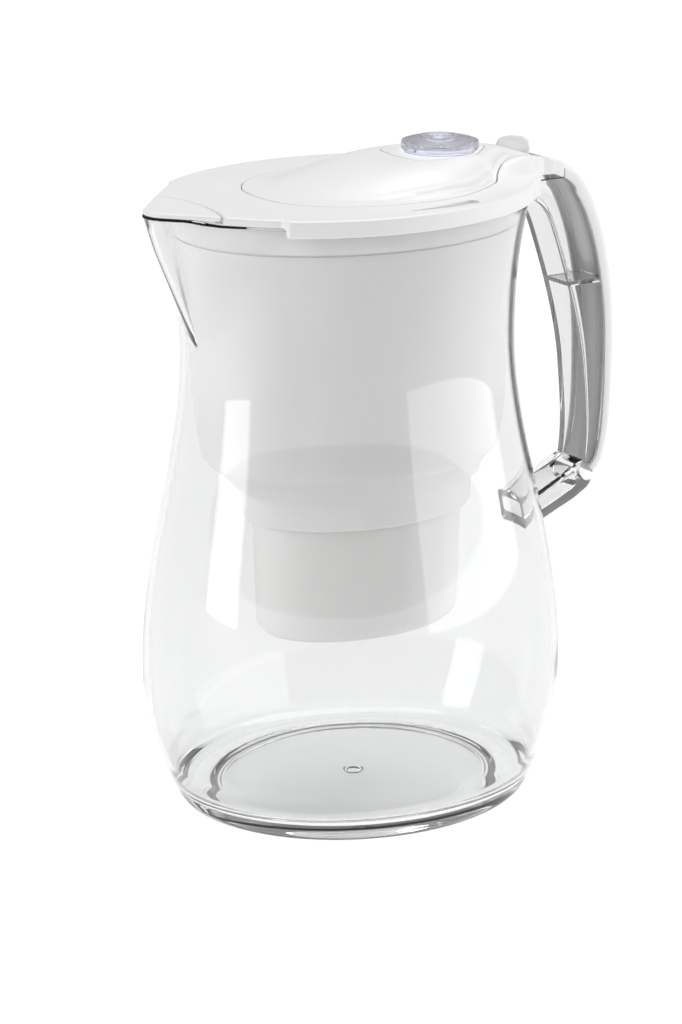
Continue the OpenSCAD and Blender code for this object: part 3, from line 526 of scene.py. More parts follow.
def jug_rows(angles):
    """Rings of the jug, up the outside, over the rim and down the inside to the floor."""
    s = settings().jug
    rim = s.rim_z
    heel = s.heel_r
    low = s.push_up + s.floor_t
    base = heel + s.foot_ring
    lift = lip_lift(angles)
    inner_lift = lip_lift(angles, s.wall)
    rows = []

    def bottom(inset, z):
        rows.append(ring(oval_line(jug_a(0) - inset, jug_b(0) - inset, 0, angles), z))

    def wall(z, inset, rise):
        """One ring of a wall, which follows the rim's rise near the top."""
        up = rise * ease((z - (rim - LIP_BLEND)) / LIP_BLEND)
        rows.append(ring(jug_line(z, inset, angles), z + up))

    for r, z in GATE_MARK:
        rows.append(ring(polar((0, 0), np.full(len(angles), r), angles), s.push_up + z))
    flat_a = jug_a(0) - base - BASE_RISE
    flat_b = jug_b(0) - base - BASE_RISE
    for share in (0.12, 0.3, 0.5, 0.7, 0.85, 0.95):
        rows.append(ring(oval_line(flat_a * share, flat_b * share, 0, angles), s.push_up))
    bottom(base + BASE_RISE, s.push_up)
    for step in (5, 3, 1.6, 0.9):
        bottom(base + step, s.push_up * ease(step / BASE_RISE * 1.15))
    for inset, z in ((base + 0.2, 0.15), (base - 0.3, 0), (base - 3, 0), (heel + 0.2, 0)):
        bottom(inset, z)
    for t in np.radians([12, 26, 42, 58, 74]):
        z = heel * (1 - cos(t))
        rows.append(ring(jug_line(z, heel * (1 - sin(t)), angles), z))
    foot = np.r_[heel, 7, 11, 16, 22, 29, 36, 43, 50]
    body = np.linspace(s.belly_z, s.waist_z, 26)
    neck = np.linspace(s.waist_z, rim - LIP_ROUND - 0.1, 18)[1:]
    for z in np.r_[foot, body, neck]:
        wall(z, 0, lift)
    for t in np.radians([15, 35, 55, 75, 90]):
        z = rim - LIP_ROUND * (1 - sin(t)) + lift
        rows.append(ring(jug_line(rim, LIP_ROUND * (1 - cos(t)), angles), z))
    for t in np.radians([90, 75, 55, 35, 15]):
        z = rim - LIP_ROUND * (1 - sin(t)) + inner_lift
        rows.append(ring(jug_line(rim, s.wall - LIP_ROUND * (1 - cos(t)), angles), z))
    neck = np.linspace(rim - LIP_ROUND - 0.2, s.waist_z, 16)
    body = np.linspace(s.waist_z, s.belly_z, 24)[1:]
    for z in np.r_[neck, body, 46, 36, 27, 21]:
        wall(z, s.wall, inner_lift)
    for t in np.radians([0, 15, 30, 45, 60, 75, 90]):
        z = low + FLOOR_BEND * (1 - sin(t))
        rows.append(ring(jug_line(low + FLOOR_BEND, s.wall + FLOOR_BEND * (1 - cos(t)), angles), z))
    floor_a = jug_a(low + FLOOR_BEND) - s.wall - FLOOR_BEND
    floor_b = jug_b(low + FLOOR_BEND) - s.wall - FLOOR_BEND
    cx = jug_cx(low + FLOOR_BEND)
    for share in (0.93, 0.8, 0.6, 0.4, 0.2, 0.06, 0.004):
        rows.append(ring(oval_line(floor_a * share, floor_b * share, cx * share, angles), low))
    return rows


GRIP_CURVE = [
    (77.5, 250.5), (87, 249), (91.8, 243.9), (95.6, 233.6), (99.4, 223.3), (110, 194.2),
    (112.2, 171.8), (114.3, 150.1), (115.1, 140.7), (112.8, 126.5),
]
BACK_CURVE = [
    (98.9, 262.2), (116.7, 258.4), (127.5, 216.8), (127.1, 180.5), (126.8, 146),
    (125.2, 128.3), (117.5, 123.5),
]
WEB_TURN_Z = 245.5  # height where the web turns from the root down into the grip
ROOT_ROWS = 12  # sections along the channel's root
DOWN_ROWS = 66  # sections down the grip
CORNER_R = 0.7  # rounding of the channel's outer corners
BEND_R = 1.2  # rounding of the inner ones
TIP_R = 0.35  # rounding of its free edges
RIB_ENDS = (105.3, 122.7)  # where the rib starts and ends along the pouring axis
BORE_LOW = 90  # the tool that clears the handle out of the jug's inside starts at this height


def handle_back():
    """Side view of the clear channel's back edge: level along the root, then down beside the cover."""
    s = settings()
    line = beside(chain(BACK_CURVE, 60), -(s.handle.cover_t + 1.6))
    line = line[line[:, 1] < s.handle.root_z]
    root = np.array([(77.5, s.handle.root_z), (line[0][0] - 0.4, s.handle.root_z)])
    return root, line


def u_section(front, back, half, wall):
    """A ring round a U channel, from its front face to its free edges."""
    across = np.array(back) - np.array(front)
    depth = float(np.hypot(*across))
    across /= depth
    r = min(CORNER_R, depth * 0.4)
    inner = min(BEND_R, depth * 0.2)
    tip = TIP_R
    turn = np.radians([0, 22, 45, 68, 90])
    side = [(half - wall + tip, depth), (half - tip, depth)]
    side += [(half, depth - tip), (half, mix(r, depth, 0.5))]
    side += [(half - r * (1 - cos(t)), r * (1 - sin(t))) for t in turn]
    floor = min(wall, depth * 0.6)
    bend = [(half - wall - inner * (1 - cos(t)), floor + inner * (1 - sin(t))) for t in turn[::-1]]
    hollow = [*bend, (half - wall, mix(floor + inner, depth, 0.5)), (half - wall, depth - tip)]
    outside = [*side, (0, 0), *[(-y, q) for y, q in side[::-1]]]
    inside = [*[(-y, q) for y, q in hollow[::-1]], (0, floor), *hollow]
    return [(front[0] + across[0] * q, y, front[1] + across[1] * q) for y, q in outside + inside]


def channel_part():
    """The clear channel of the handle, from the jug's neck down to the arm."""
    h = settings().handle
    root, down = handle_back()
    grip = chain(GRIP_CURVE, 300)
    turn = int(np.argmin(np.abs(grip[:, 1] - WEB_TURN_Z)))
    fronts = np.concatenate([resample(grip[: turn + 1], ROOT_ROWS), resample(grip[turn:], DOWN_ROWS)[1:]])
    backs = np.concatenate([resample(root, ROOT_ROWS), resample(down, DOWN_ROWS)[1:]])
    return loft([u_section(a, b, h.grip_wid / 2, h.grip_t) for a, b in zip(fronts, backs)])


def bar(stops, count):
    """A bmesh of a bar along X through (place, low, high, half width, corner radius) stops."""
    rows = []
    turn = np.radians([0, 30, 60, 90])
    for x in np.linspace(stops[0][0], stops[-1][0], count):
        low, high, half, r = (along(x, [(q[0], q[k]) for q in stops]) for k in (1, 2, 3, 4))
        r = min(r, (high - low) * 0.49, half * 0.49)
        ring_points = []
        for sy, sz, way in ((1, 1, 1), (-1, 1, -1), (-1, -1, 1), (1, -1, -1)):
            for t in turn[::way]:
                y = sy * (half - r + r * cos(t))
                z = (high if sz > 0 else low) - sz * r + sz * r * sin(t)
                ring_points.append((x, y, z))
        rows.append(ring_points)
    return loft(rows)


def arm_parts():
    """The arm under the channel, and the hollow in it."""
    half = settings().handle.grip_wid / 2
    inner = half - 2.4
    outer = [  # place, low, high, half width, corner radius
        (78, 99, 117.2, half, 1.8), (84, 101.8, 117.5, half, 1.8), (88, 103.8, 118.6, half, 1.8),
        (95, 106.9, 121.7, half, 1.8), (102, 109.8, 124.8, half, 1.8), (108, 112.2, 127.9, half, 1.8),
        (112.4, 114.4, 129.4, half, 2), (116, 116.6, 128.6, half, 2.2), (118, 118.6, 126.4, half - 0.6, 2.2),
    ]
    core = [
        (83.6, 107.5, 114.8, inner, 1.5), (88, 108.4, 115.2, inner, 1.5), (96, 111.2, 118.6, inner, 1.5),
        (103, 114.2, 121.9, inner, 1.5), (110, 117.6, 124.6, half - 2.8, 1.5),
    ]
    return bar(outer, 30), bar(core, 20)


class PITCHER_OT_jug(bpy.types.Operator):
    """Build the clear jug with its spout and its handle channel"""

    bl_idname = "pitcher.jug"
    bl_label = "Jug"

    def execute(self, context):
        s = settings()
        angles = jug_bearings()
        jug = solid(loft(jug_rows(angles)), "jug_wall")
        arm_outer, arm_core = arm_parts()
        arm = combine(solid(arm_outer, "arm"), (solid(arm_core, "arm_core"), "DIFFERENCE"))
        h = s.handle
        rib_low = h.rib_z - h.rib_t / 2
        size = (rib_low, rib_low + h.rib_t, h.grip_wid / 2 - 0.5, 0.3)
        rib = solid(bar([(x, *size) for x in RIB_ENDS], 8), "rib")
        handle = combine(solid(channel_part(), "channel"), (arm, "UNION"), (rib, "UNION"))
        bore_rows = []
        for z in np.linspace(BORE_LOW, s.jug.rim_z + 8, 40):
            level = min(z, s.jug.rim_z)
            bore_rows.append(ring(jug_line(level, s.jug.wall * 0.55, angles), z))
        bore = solid(loft(bore_rows), "bore")
        handle = combine(handle, (bore, "DIFFERENCE"))
        jug = combine(jug, (handle, "UNION"))
        dress(jug, "jug", clear_plastic(), ("jug",), angle=38)
        return {"FINISHED"}


# ------------------------------------------------------------------ handle cover


def cover_section(depth):
    """Outline of the cover's U, as (across, inwards) points: the outside, then back along the inside."""
    s = settings().handle
    h = s.cover_wid / 2
    t = s.cover_t
    r = 2.6
    tip = 0.5
    outer = [(h, depth - tip), (h, depth * 0.6), (h, r)]
    outer += [(h - r * (1 - cos(a)), r * (1 - sin(a))) for a in np.radians([20, 40, 60, 78])]
    crown = [(h * c, -s.cover_crown * (1 - c * c) * 0.8) for c in (0.72, 0.5, 0.25)]
    outer += crown
    inner = [(h - t, depth - tip), (h - t, depth * 0.6), (h - t, r + 1.2)]
    inner += [(h - t - 0.6, t + 0.5), (h - t - 1.8, t), (0, t)]
    half = [(h - t + tip, depth)] + [(h - tip * 0.3, depth - tip * 0.3)] + outer
    whole = half + [(0, -s.cover_crown * 0.8)] + [(-x, d) for x, d in half[::-1]]
    back = [(-x, d) for x, d in inner[:-1]] + [inner[-1]] + inner[:-1][::-1]
    return np.array(whole + back)


COVER_NOTCH = 0.085  # share of the cover's length where its sides step down past the lid's neck


class PITCHER_OT_handle_cover(bpy.types.Operator):
    """Build the white cover over the back of the handle"""

    bl_idname = "pitcher.handle_cover"
    bl_label = "Handle cover"

    def execute(self, context):
        s = settings().handle
        line = resample(chain(BACK_CURVE, 400), 90)
        run = np.gradient(line, axis=0)
        run /= np.linalg.norm(run, axis=1)[:, None]
        inward = np.stack([run[:, 1], -run[:, 0]], 1)
        inward[0] = (0, -1)
        share = np.linspace(0, 1, len(line))
        rows = []
        for p, into, t in zip(line, inward, share):
            step = ease((t - COVER_NOTCH) / 0.012)
            depth = mix(s.cover_deep - 1.8, mix(s.cover_deep, s.cover_shallow, t**0.7), step)
            rows.append([(p[0] + into[0] * d, y, p[1] + into[1] * d) for y, d in cover_section(depth)])
        look = white_plastic()
        finish_mesh(loft(rows), "handle_cover_shell", "jug", look, ("handle_cover",), angle=40)
        return {"FINISHED"}


# ------------------------------------------------------------------ lid and hatch


def lid_bearings():
    """Bearings round the crown's middle, closest together at the strip's corners and the skirt's ends."""
    spans = ((0, 12, 0.75), (12, 24, 0.25), (24, 70, 0.4), (70, 148, 0.75), (148, 164, 0.12), (164, 180, 0.5))
    half = np.concatenate([np.arange(*span) for span in spans])
    return np.radians(np.r_[half, 180, 360 - half[:0:-1]])


def crown_middle():
    """Middle of the hatch's crown."""
    return np.array([settings().hatch.crown_x, 0.0])


HATCH_EDGE = [  # half of the hatch's plan, from its front round to the strip
    (-46, 0), (-45.4, 8), (-43.6, 15.5), (-40, 22.5), (-35, 28.6), (-28.5, 34), (-19.5, 39.3), (-8, 43.2),
    (5.5, 45.2), (14, 45.3), (24, 43.6), (35.5, 38.8), (46.8, 31.8), (51.4, 28.4), (54, 25.6), (56.5, 22.4),
    (60.4, 19.0), (65, 16.1), (69, 14.5), (72, 13.9), (76, 13.7), (80.6, 13.7),
]


def hatch_outline(gap):
    """Plan of the hatch with its strip, grown by a gap: a wide oval, two concave corners and the strip."""
    s = settings().hatch
    points = np.array(HATCH_EDGE, float)
    steps = np.r_[0, np.cumsum(np.hypot(*np.diff(points, axis=0).T))]
    at = np.linspace(0, steps[-1], 260)
    line = np.stack([along(at, list(zip(steps, points[:, k]))) for k in (0, 1)], 1)
    line = beside(line, gap)
    front = line[line[:, 1] > 0.2][:-1]
    end = [s.strip_end + gap, s.strip_wid / 2 + gap]
    tip = [[line[0][0], 0.0]]
    return np.array([[end[0], -end[1]], end, *front[::-1], *tip, *(front * (1, -1))])


FLAP_SEAM_MIDDLE = -141.3  # the seam between the lid and the flap is an arc round this place
FLAP_SEAM_R = 68.0
FLAP_SEAM_GAP = 0.5


def seam_x(y, gap=0.0):
    """Place of the flap's seam across the lid."""
    return FLAP_SEAM_MIDDLE + np.sqrt(FLAP_SEAM_R**2 - y * y) + gap


SHOULDER = [  # plan of the lid from the neck's side round to its oval
    (92, 12.9), (87, 13.9), (83.4, 15.6), (80.6, 18.4), (78.4, 22), (76.4, 26), (74, 29.6),
]


def lid_outline():
    """Plan of the lid without the flap: oval, flat beside the spout, neck, and the flap's seam in front."""
    s = settings()
    lid = s.lid
    a = s.jug.rim_len / 2 + lid.play + 0.1 + lid.skirt_t
    b = s.jug.rim_wid / 2 + lid.play + 0.1 + lid.skirt_t
    cx = -s.jug.rim_shift
    neck_y = s.handle.cover_wid / 2
    tall = jug_line(s.jug.rim_z, 0.1, np.radians(np.arange(90, 180, 0.5)))
    oval_part = oval_line(a, b, cx, np.radians(np.arange(0, 180, 0.75)))
    half = [(lid.neck_end, neck_y), *SHOULDER]
    half += [tuple(p) for p in oval_part if p[0] > -lid.skirt_front and p[1] > lid.neck_wid and p[0] < 72.5]
    for p in tall:
        if p[0] < -lid.skirt_front - 0.8 and p[0] > seam_x(p[1], 0.4):
            half.append(tuple(p))
    end_y = half[-1][1]
    half += [(float(seam_x(y, FLAP_SEAM_GAP)), y) for y in np.linspace(end_y - 0.3, 0, 24)[:-1]]
    whole = half + [(float(seam_x(0, FLAP_SEAM_GAP)), 0)] + [(x, -y) for x, y in half[::-1]]
    return np.array(whole)


NECK_STOPS = [  # place, half width at the plate, half width at the top, share of the rise
    (44, 34, 23, 0.0), (50, 31, 21, 0.04), (53, 30, 20, 0.20), (57, 28.6, 19, 0.50), (61, 27.4, 18, 0.72),
    (66, 26.2, 17.2, 0.90), (72, 24.6, 16.6, 1.0), (78, 21.5, 15.6, 0.97), (84, 18.4, 14.4, 0.78),
    (91, 15.8, 13.4, 0.46), (99, 13.2, 12.0, 0.05),
]


def neck_height(x, y):
    """Height of the neck's hump over the plate."""
    s = settings().lid
    foot = along(x, [(q[0], q[1]) for q in NECK_STOPS])
    top = along(x, [(q[0], q[2]) for q in NECK_STOPS])
    rise = np.maximum(along(x, [(q[0], q[3]) for q in NECK_STOPS]), 0) * s.neck_rise
    t = (foot - np.abs(y)) / (foot - top + 1e-6)
    return rise * ease(t) + 0.25 * ease((t - 1) / 1.2) * (rise > 0.5)


def dome_height(t):
    """Height of the hatch's dome: t runs from 0 at its edge, over a flat rim, to 1 at the crown."""
    s = settings().hatch
    rim = s.band_rise * ease(t / s.band_share)
    slope = np.sin(np.clip((t - s.band_share) / (1 - s.band_share), 0, 1) * pi / 2) ** 1.15
    return rim + (s.hatch_rise - s.band_rise) * slope


SWOOSH = [  # place, and the distance from the pouring plane of the three creases on the dome's flank
    (-16, 28.6, 33.2, 37.4), (-7, 31.6, 35.2, 39.2), (2.5, 33.1, 36.8, 40.6), (12.3, 33.9, 37.8, 41.4),
    (24, 33.4, 37.2, 40.6), (36, 30.6, 34.0, 36.9), (46, 25.6, 28.2, 30.4), (54, 20.8, 22.8, 24.6),
    (62, 16, 17.6, 19),
]
SWOOSH_RISE = 0.95  # height of the shelves


def swoosh(x, y, inwards):
    """Height of the two swept shelves on the dome's flank: each rises slowly outwards and then drops."""
    y = np.abs(y)
    lines = [along(x, [(q[0], q[k]) for q in SWOOSH]) for k in (1, 2, 3)]
    fade = ease((x + 16) / 26) * ease((62 - x) / 6) * ease((inwards - 0.3) / 2)
    height = 0.0
    for near, far, tall in ((lines[0], lines[1], 1.0), (lines[1], lines[2], 0.9)):
        s = (y - near) / (far - near)
        height = height + SWOOSH_RISE * tall * ease(s / 0.8) * (1 - ease((s - 0.74) / 0.5))
    return height * fade


def smooth_max(a, b, soft=1.2):
    """The larger of two heights with a rounded join."""
    h = np.clip(0.5 + 0.5 * (a - b) / soft, 0, 1)
    return b + (a - b) * h + soft * h * (1 - h) * 0.5


CROWN_EDGES = [(180, 19.8), (127, 22.4), (95, 19.6), (53, 22.2), (0, 27.8)]


def crown_reach(angles):
    """Distance from the crown's middle to the edge of the flat crown, with rounded corners."""
    c = np.cos(angles)
    s = np.abs(np.sin(angles))
    leans = [(np.maximum(c * cos(radians(a)) + s * sin(radians(a)), 0.0) / d) for a, d in CROWN_EDGES]
    return sum(lean**16 for lean in leans) ** (-1 / 16)


PICK_CIRCLES = [  # middle and radius of the circles that the panel's outline is drawn round
    ((33, 0), 13.6), ((56.5, 0), 8.3), ((28, 10.5), 7.2), ((28, -10.5), 7.2), ((47.5, 12.5), 5.5), ((47.5, -12.5), 5.5),
]
PICK_MIDDLE = (43.0, 0.0)
PICK_SEAT = 0.6  # how far the recess is set in from that outline
PICK_PANEL = 1.05  # and the panel


def pick_outline(inset):
    """Plan of the counter's panel: a wide front edge with round corners, and a rounded nose."""
    angles = np.radians(np.arange(0, 360, 1.5))
    rims = np.concatenate([polar(c, r - inset, angles) for c, r in PICK_CIRCLES])
    middle = np.array(PICK_MIDDLE)
    look = np.radians(np.arange(0, 360, 1.0))
    normals = np.stack([np.cos(look), np.sin(look)], 1)
    support = (rims @ normals.T).max(0)
    lines = support - normals @ middle
    radius = []
    for t in look:
        faced = normals @ np.array([cos(t), sin(t)])
        ahead = faced > 1e-3
        radius.append((lines[ahead] / faced[ahead]).min())
    return polar(middle, np.array(radius), look)


ARCH = [  # place, rise of the lid's lower edge over the handle
    (60, 0), (78, 0), (81, 1.2), (84, 3.0), (88, 3.8), (91, 3.9), (95, 3.0), (99, 1.2),
]
LEDGE_DEPTH = 2.3  # how far the ledge under the hatch lies below the plate
LEDGE_WID = 4.3
LEDGE_END = 56  # the ledge stops where the hinge cheeks begin
SLOT_END = 92.0  # end of the slot that the thumb tab swings into
LID_FILLET = 0.45  # rounding of the opening's edge
LID_BROW = 1.3  # rounding of the lid's outer edge


def skirt_foot(x):
    """Height of the lid's lower edge: the skirt, the flats beside the spout and the arch over the handle."""
    s = settings().lid
    front = ease((-s.skirt_front + 0.2 - x) / 0.5)
    return mix(s.skirt_z + along(x, ARCH) * (x > 60), s.plate_z - s.lid_t, front)


class PITCHER_OT_lid(bpy.types.Operator):
    """Build the lid: plate, skirt, raised neck with its hinge cheeks, and the opening for the hatch"""

    bl_idname = "pitcher.lid"
    bl_label = "Lid"

    def execute(self, context):
        s = settings().lid
        rings = Rings(crown_middle(), lid_bearings())
        low = s.plate_z - s.lid_t
        opening = hatch_outline(s.play + 0.1)
        opening[:2, 0] = SLOT_END
        inner = reach(opening, rings.middle, rings.angles)
        outer = reach(lid_outline(), rings.middle, rings.angles)
        ledge = np.where(rings.plan(inner)[:, 0] > LEDGE_END, inner, inner - LEDGE_WID)

        def top(radius):
            x, y = rings.plan(radius).T
            return s.plate_z + neck_height(x, y)

        ledge_z = s.plate_z - LEDGE_DEPTH
        rings.put(ledge, low)
        rings.put(ledge, ledge_z)
        rings.put(inner, ledge_z)
        edge = top(inner + LID_FILLET)
        rings.put(inner, mix(ledge_z, edge - LID_FILLET, 0.5))
        for t in np.radians([0, 30, 60, 90]):
            rings.put(inner + LID_FILLET * (1 - cos(t)), edge - LID_FILLET * (1 - sin(t)))
        for share in np.linspace(0.03, 1, 26):
            radius = mix(inner + LID_FILLET, outer - LID_BROW, share)
            rings.put(radius, top(radius))
        edge = top(outer - LID_BROW)
        for t in np.radians([20, 40, 60, 80, 90]):
            rings.put(outer - LID_BROW * (1 - sin(t)), edge - LID_BROW * (1 - cos(t)))
        foot = skirt_foot(rings.plan(outer)[:, 0])
        rings.put(outer, mix(edge - LID_BROW, foot + 0.3, 0.6))
        for inset, z in ((0, foot + 0.35), (0.35, foot), (s.skirt_t - 0.35, foot)):
            rings.put(outer - inset, z)
        rings.put(outer - s.skirt_t, np.minimum(foot + 0.35, low))
        rings.put(outer - s.skirt_t, low)
        lid = combine(solid(loft(rings.rows, closed=True), "lid_shell"), (teardrop(), "DIFFERENCE"))
        dress(lid, "lid", white_plastic(), ("lid",), angle=36)
        return {"FINISHED"}


TEARDROP = [  # place along, middle across, half width
    (-8.4, -56.2, 0.25), (0, -56.9, 1.1), (8, -56.8, 2.0), (16, -55.9, 2.8), (22, -54.9, 3.1),
]


def teardrop():
    """The teardrop recess on the near side of the plate, as a tool."""
    s = settings().lid
    nose, round_r = TEARDROP[-1][0], TEARDROP[-1][2]
    line = []
    for x in np.linspace(-8.8, 25.1, 44):
        yc = along(x, [(q[0], q[1]) for q in TEARDROP])
        w = along(x, [(q[0], q[2]) for q in TEARDROP])
        w *= sqrt(max(1 - (max(x - nose, 0) / round_r) ** 2, 0.0001))
        line.append((x, yc, w))
    upper = [(x, y + w) for x, y, w in line]
    lower = [(x, y - w) for x, y, w in line]
    plan = np.array(upper + lower[::-1])
    centre = plan.mean(0)
    rows = [
        ring(centre + (plan - centre) * 0.93, s.plate_z - 1.4),
        ring(centre + (plan - centre) * 0.98, s.plate_z - 1.1),
        ring(plan, s.plate_z + 2),
    ]
    return solid(loft(rows), "teardrop_tool")


STRIP_UNDER = [  # place, height of the hatch's lower edge over the plate
    (58, -2), (61, 0.6), (68, 0.6), (74, 1.4), (79.6, 3.8),
]
PANEL_DEPTH = 0.9  # depth of the recess that the counter's panel lies in
HATCH_FILLET = 0.5  # rounding of the hatch's outer edge
HATCH_EDGE_T = 1.6  # thickness of its edge


class PITCHER_OT_hatch(bpy.types.Operator):
    """Build the domed filling hatch, its strip and its thumb tab"""

    bl_idname = "pitcher.hatch"
    bl_label = "Filling hatch"

    def execute(self, context):
        s = settings()
        h = s.hatch
        plate = s.lid.plate_z
        rings = Rings(crown_middle(), lid_bearings())
        edge = reach(hatch_outline(0), rings.middle, rings.angles)
        crown = np.minimum(crown_reach(rings.angles), edge - 2)
        pick = reach(pick_outline(PICK_SEAT), rings.middle, rings.angles)
        seat_z = plate + h.hatch_rise

        def surface(radius):
            x, y = rings.plan(radius).T
            t = np.clip((edge - radius) / (edge - crown), 0, 1)
            dome = dome_height(t) + swoosh(x, y, edge - radius)
            return plate + smooth_max(dome, neck_height(x, y))

        for share in (0.004, 0.2, 0.5, 0.8):
            rings.put(pick * share, seat_z - PANEL_DEPTH)
        for out, down in ((0, PANEL_DEPTH), (0, 0.25), (0.08, 0.08), (0.25, 0)):
            rings.put(pick + out, seat_z - down)
        start = np.maximum(crown, pick + 0.6)
        for share in (0.35, 0.7, 1.0):
            radius = mix(pick + 0.25, start, share)
            rings.put(radius, surface(radius))
        for share in np.linspace(0.03, 1, 34):
            radius = mix(start, edge - HATCH_FILLET, share)
            rings.put(radius, surface(radius))
        brink = surface(edge - HATCH_FILLET)
        for t in np.radians([30, 60, 90]):
            rings.put(edge - HATCH_FILLET * (1 - sin(t)), brink - HATCH_FILLET * (1 - cos(t)))
        under = plate + np.interp(rings.plan(edge)[:, 0], *np.array(STRIP_UNDER).T)
        rings.put(edge, mix(brink - HATCH_FILLET, under, 0.6))
        rings.put(edge, under)
        rings.put(edge - HATCH_EDGE_T, under)
        for share in np.linspace(0.97, 0.1, 16):
            radius = mix(crown, edge, share) - HATCH_EDGE_T
            rings.put(radius, np.maximum(surface(radius) - h.hatch_t, plate - 1.4))
        for share in (1, 0.8, 0.5, 0.2, 0.004):
            rings.put(pick * 0.8 * share, seat_z - 0.8 - h.hatch_t)
        tab = solid(thumb_tab(), "tab_tool")
        shell = combine(solid(loft(rings.rows), "hatch_shell"), (tab, "UNION"))
        dress(shell, "filling_hatch", white_plastic(), ("filling_hatch",), angle=34)
        return {"FINISHED"}


TAB_ROWS = 16
TAB_COLUMNS = 40
TAB_BEND = 3.4  # how far the tab leans back at its top
TAB_HOLLOW = 2.0  # depth of the hollow in its front
TAB_SQUARE = 0.6  # power that squares its section


def thumb_tab():
    """The tab that the thumb presses: an upright leaf, rounded above and hollowed towards the spout."""
    s = settings()
    h = s.hatch
    half = h.tab_wid / 2 + 1
    base_z = s.lid.plate_z + 4.6
    top_z = s.lid.plate_z + s.lid.neck_rise + h.tab_rise
    x_front = h.hinge_x + 6.4
    rows = []
    for v in np.linspace(0, 1, TAB_ROWS):
        z = mix(base_z, top_z, v)
        width = half * sqrt(max(1 - max((v - 0.45) / 0.55, 0) ** 2.6, 0.0009))
        bend = TAB_BEND * v * v
        thick = mix(3.4, 1.5, v)
        points = []
        for t in np.linspace(0, 2 * pi, TAB_COLUMNS, endpoint=False):
            y = width * np.sign(cos(t)) * abs(cos(t)) ** TAB_SQUARE
            hollow = TAB_HOLLOW * (1 - (y / half) ** 2) * ease((v - 0.25) / 0.5)
            x = x_front + bend + hollow + thick * 0.5 + thick * 0.5 * np.sign(sin(t)) * abs(sin(t)) ** TAB_SQUARE
            points.append((x, y, z))
        rows.append(points)
    return loft(rows)


FLAP_MIDDLE = (-84.0, 0.0)
FLAP_EDGE_T = 1.75  # thickness of the flap's edge, which hangs over its box
FLAP_FILLET = 0.95  # rounding of that edge


class PITCHER_OT_flap(bpy.types.Operator):
    """Build the flap over the spout"""

    bl_idname = "pitcher.flap"
    bl_label = "Spout flap"

    def execute(self, context):
        s = settings()
        top = s.lid.plate_z
        low = low_of("spout_flap") + 0.2
        nose = jug_line(s.jug.rim_z, 0.3, np.radians(np.arange(120, 240.5, 0.5)))
        keep = [tuple(p) for p in nose if p[0] < seam_x(p[1], 0.0) - 0.2]
        end_y = keep[0][1]
        rear = [(float(seam_x(y, -0.12)), y) for y in np.linspace(-end_y + 0.15, end_y - 0.15, 60)]
        rings = Rings(np.array(FLAP_MIDDLE), np.radians(np.arange(0, 360, 1.25)))
        radius = reach(np.array(keep + rear), rings.middle, rings.angles)
        edge = top - FLAP_EDGE_T
        for share in (0.004, 0.4, 0.8):
            rings.put(radius * share, low)
        for inset, z in ((3.2, low), (3.0, edge), (0.3, edge), (0, edge + 0.3)):
            rings.put(radius - inset, z)
        for t in np.radians([0, 30, 60, 90]):
            rings.put(radius - FLAP_FILLET * (1 - cos(t)), top - FLAP_FILLET * (1 - sin(t)))
        for share in (0.85, 0.6, 0.3, 0.004):
            rings.put(radius * share, top + 0.12 * (1 - share))
        look = white_plastic()
        finish_mesh(
            loft(rings.rows), "spout_flap_leaf", "spout_flap", look, ("spout_flap",), angle=36
        )
        return {"FINISHED"}


# ------------------------------------------------------------------ counter


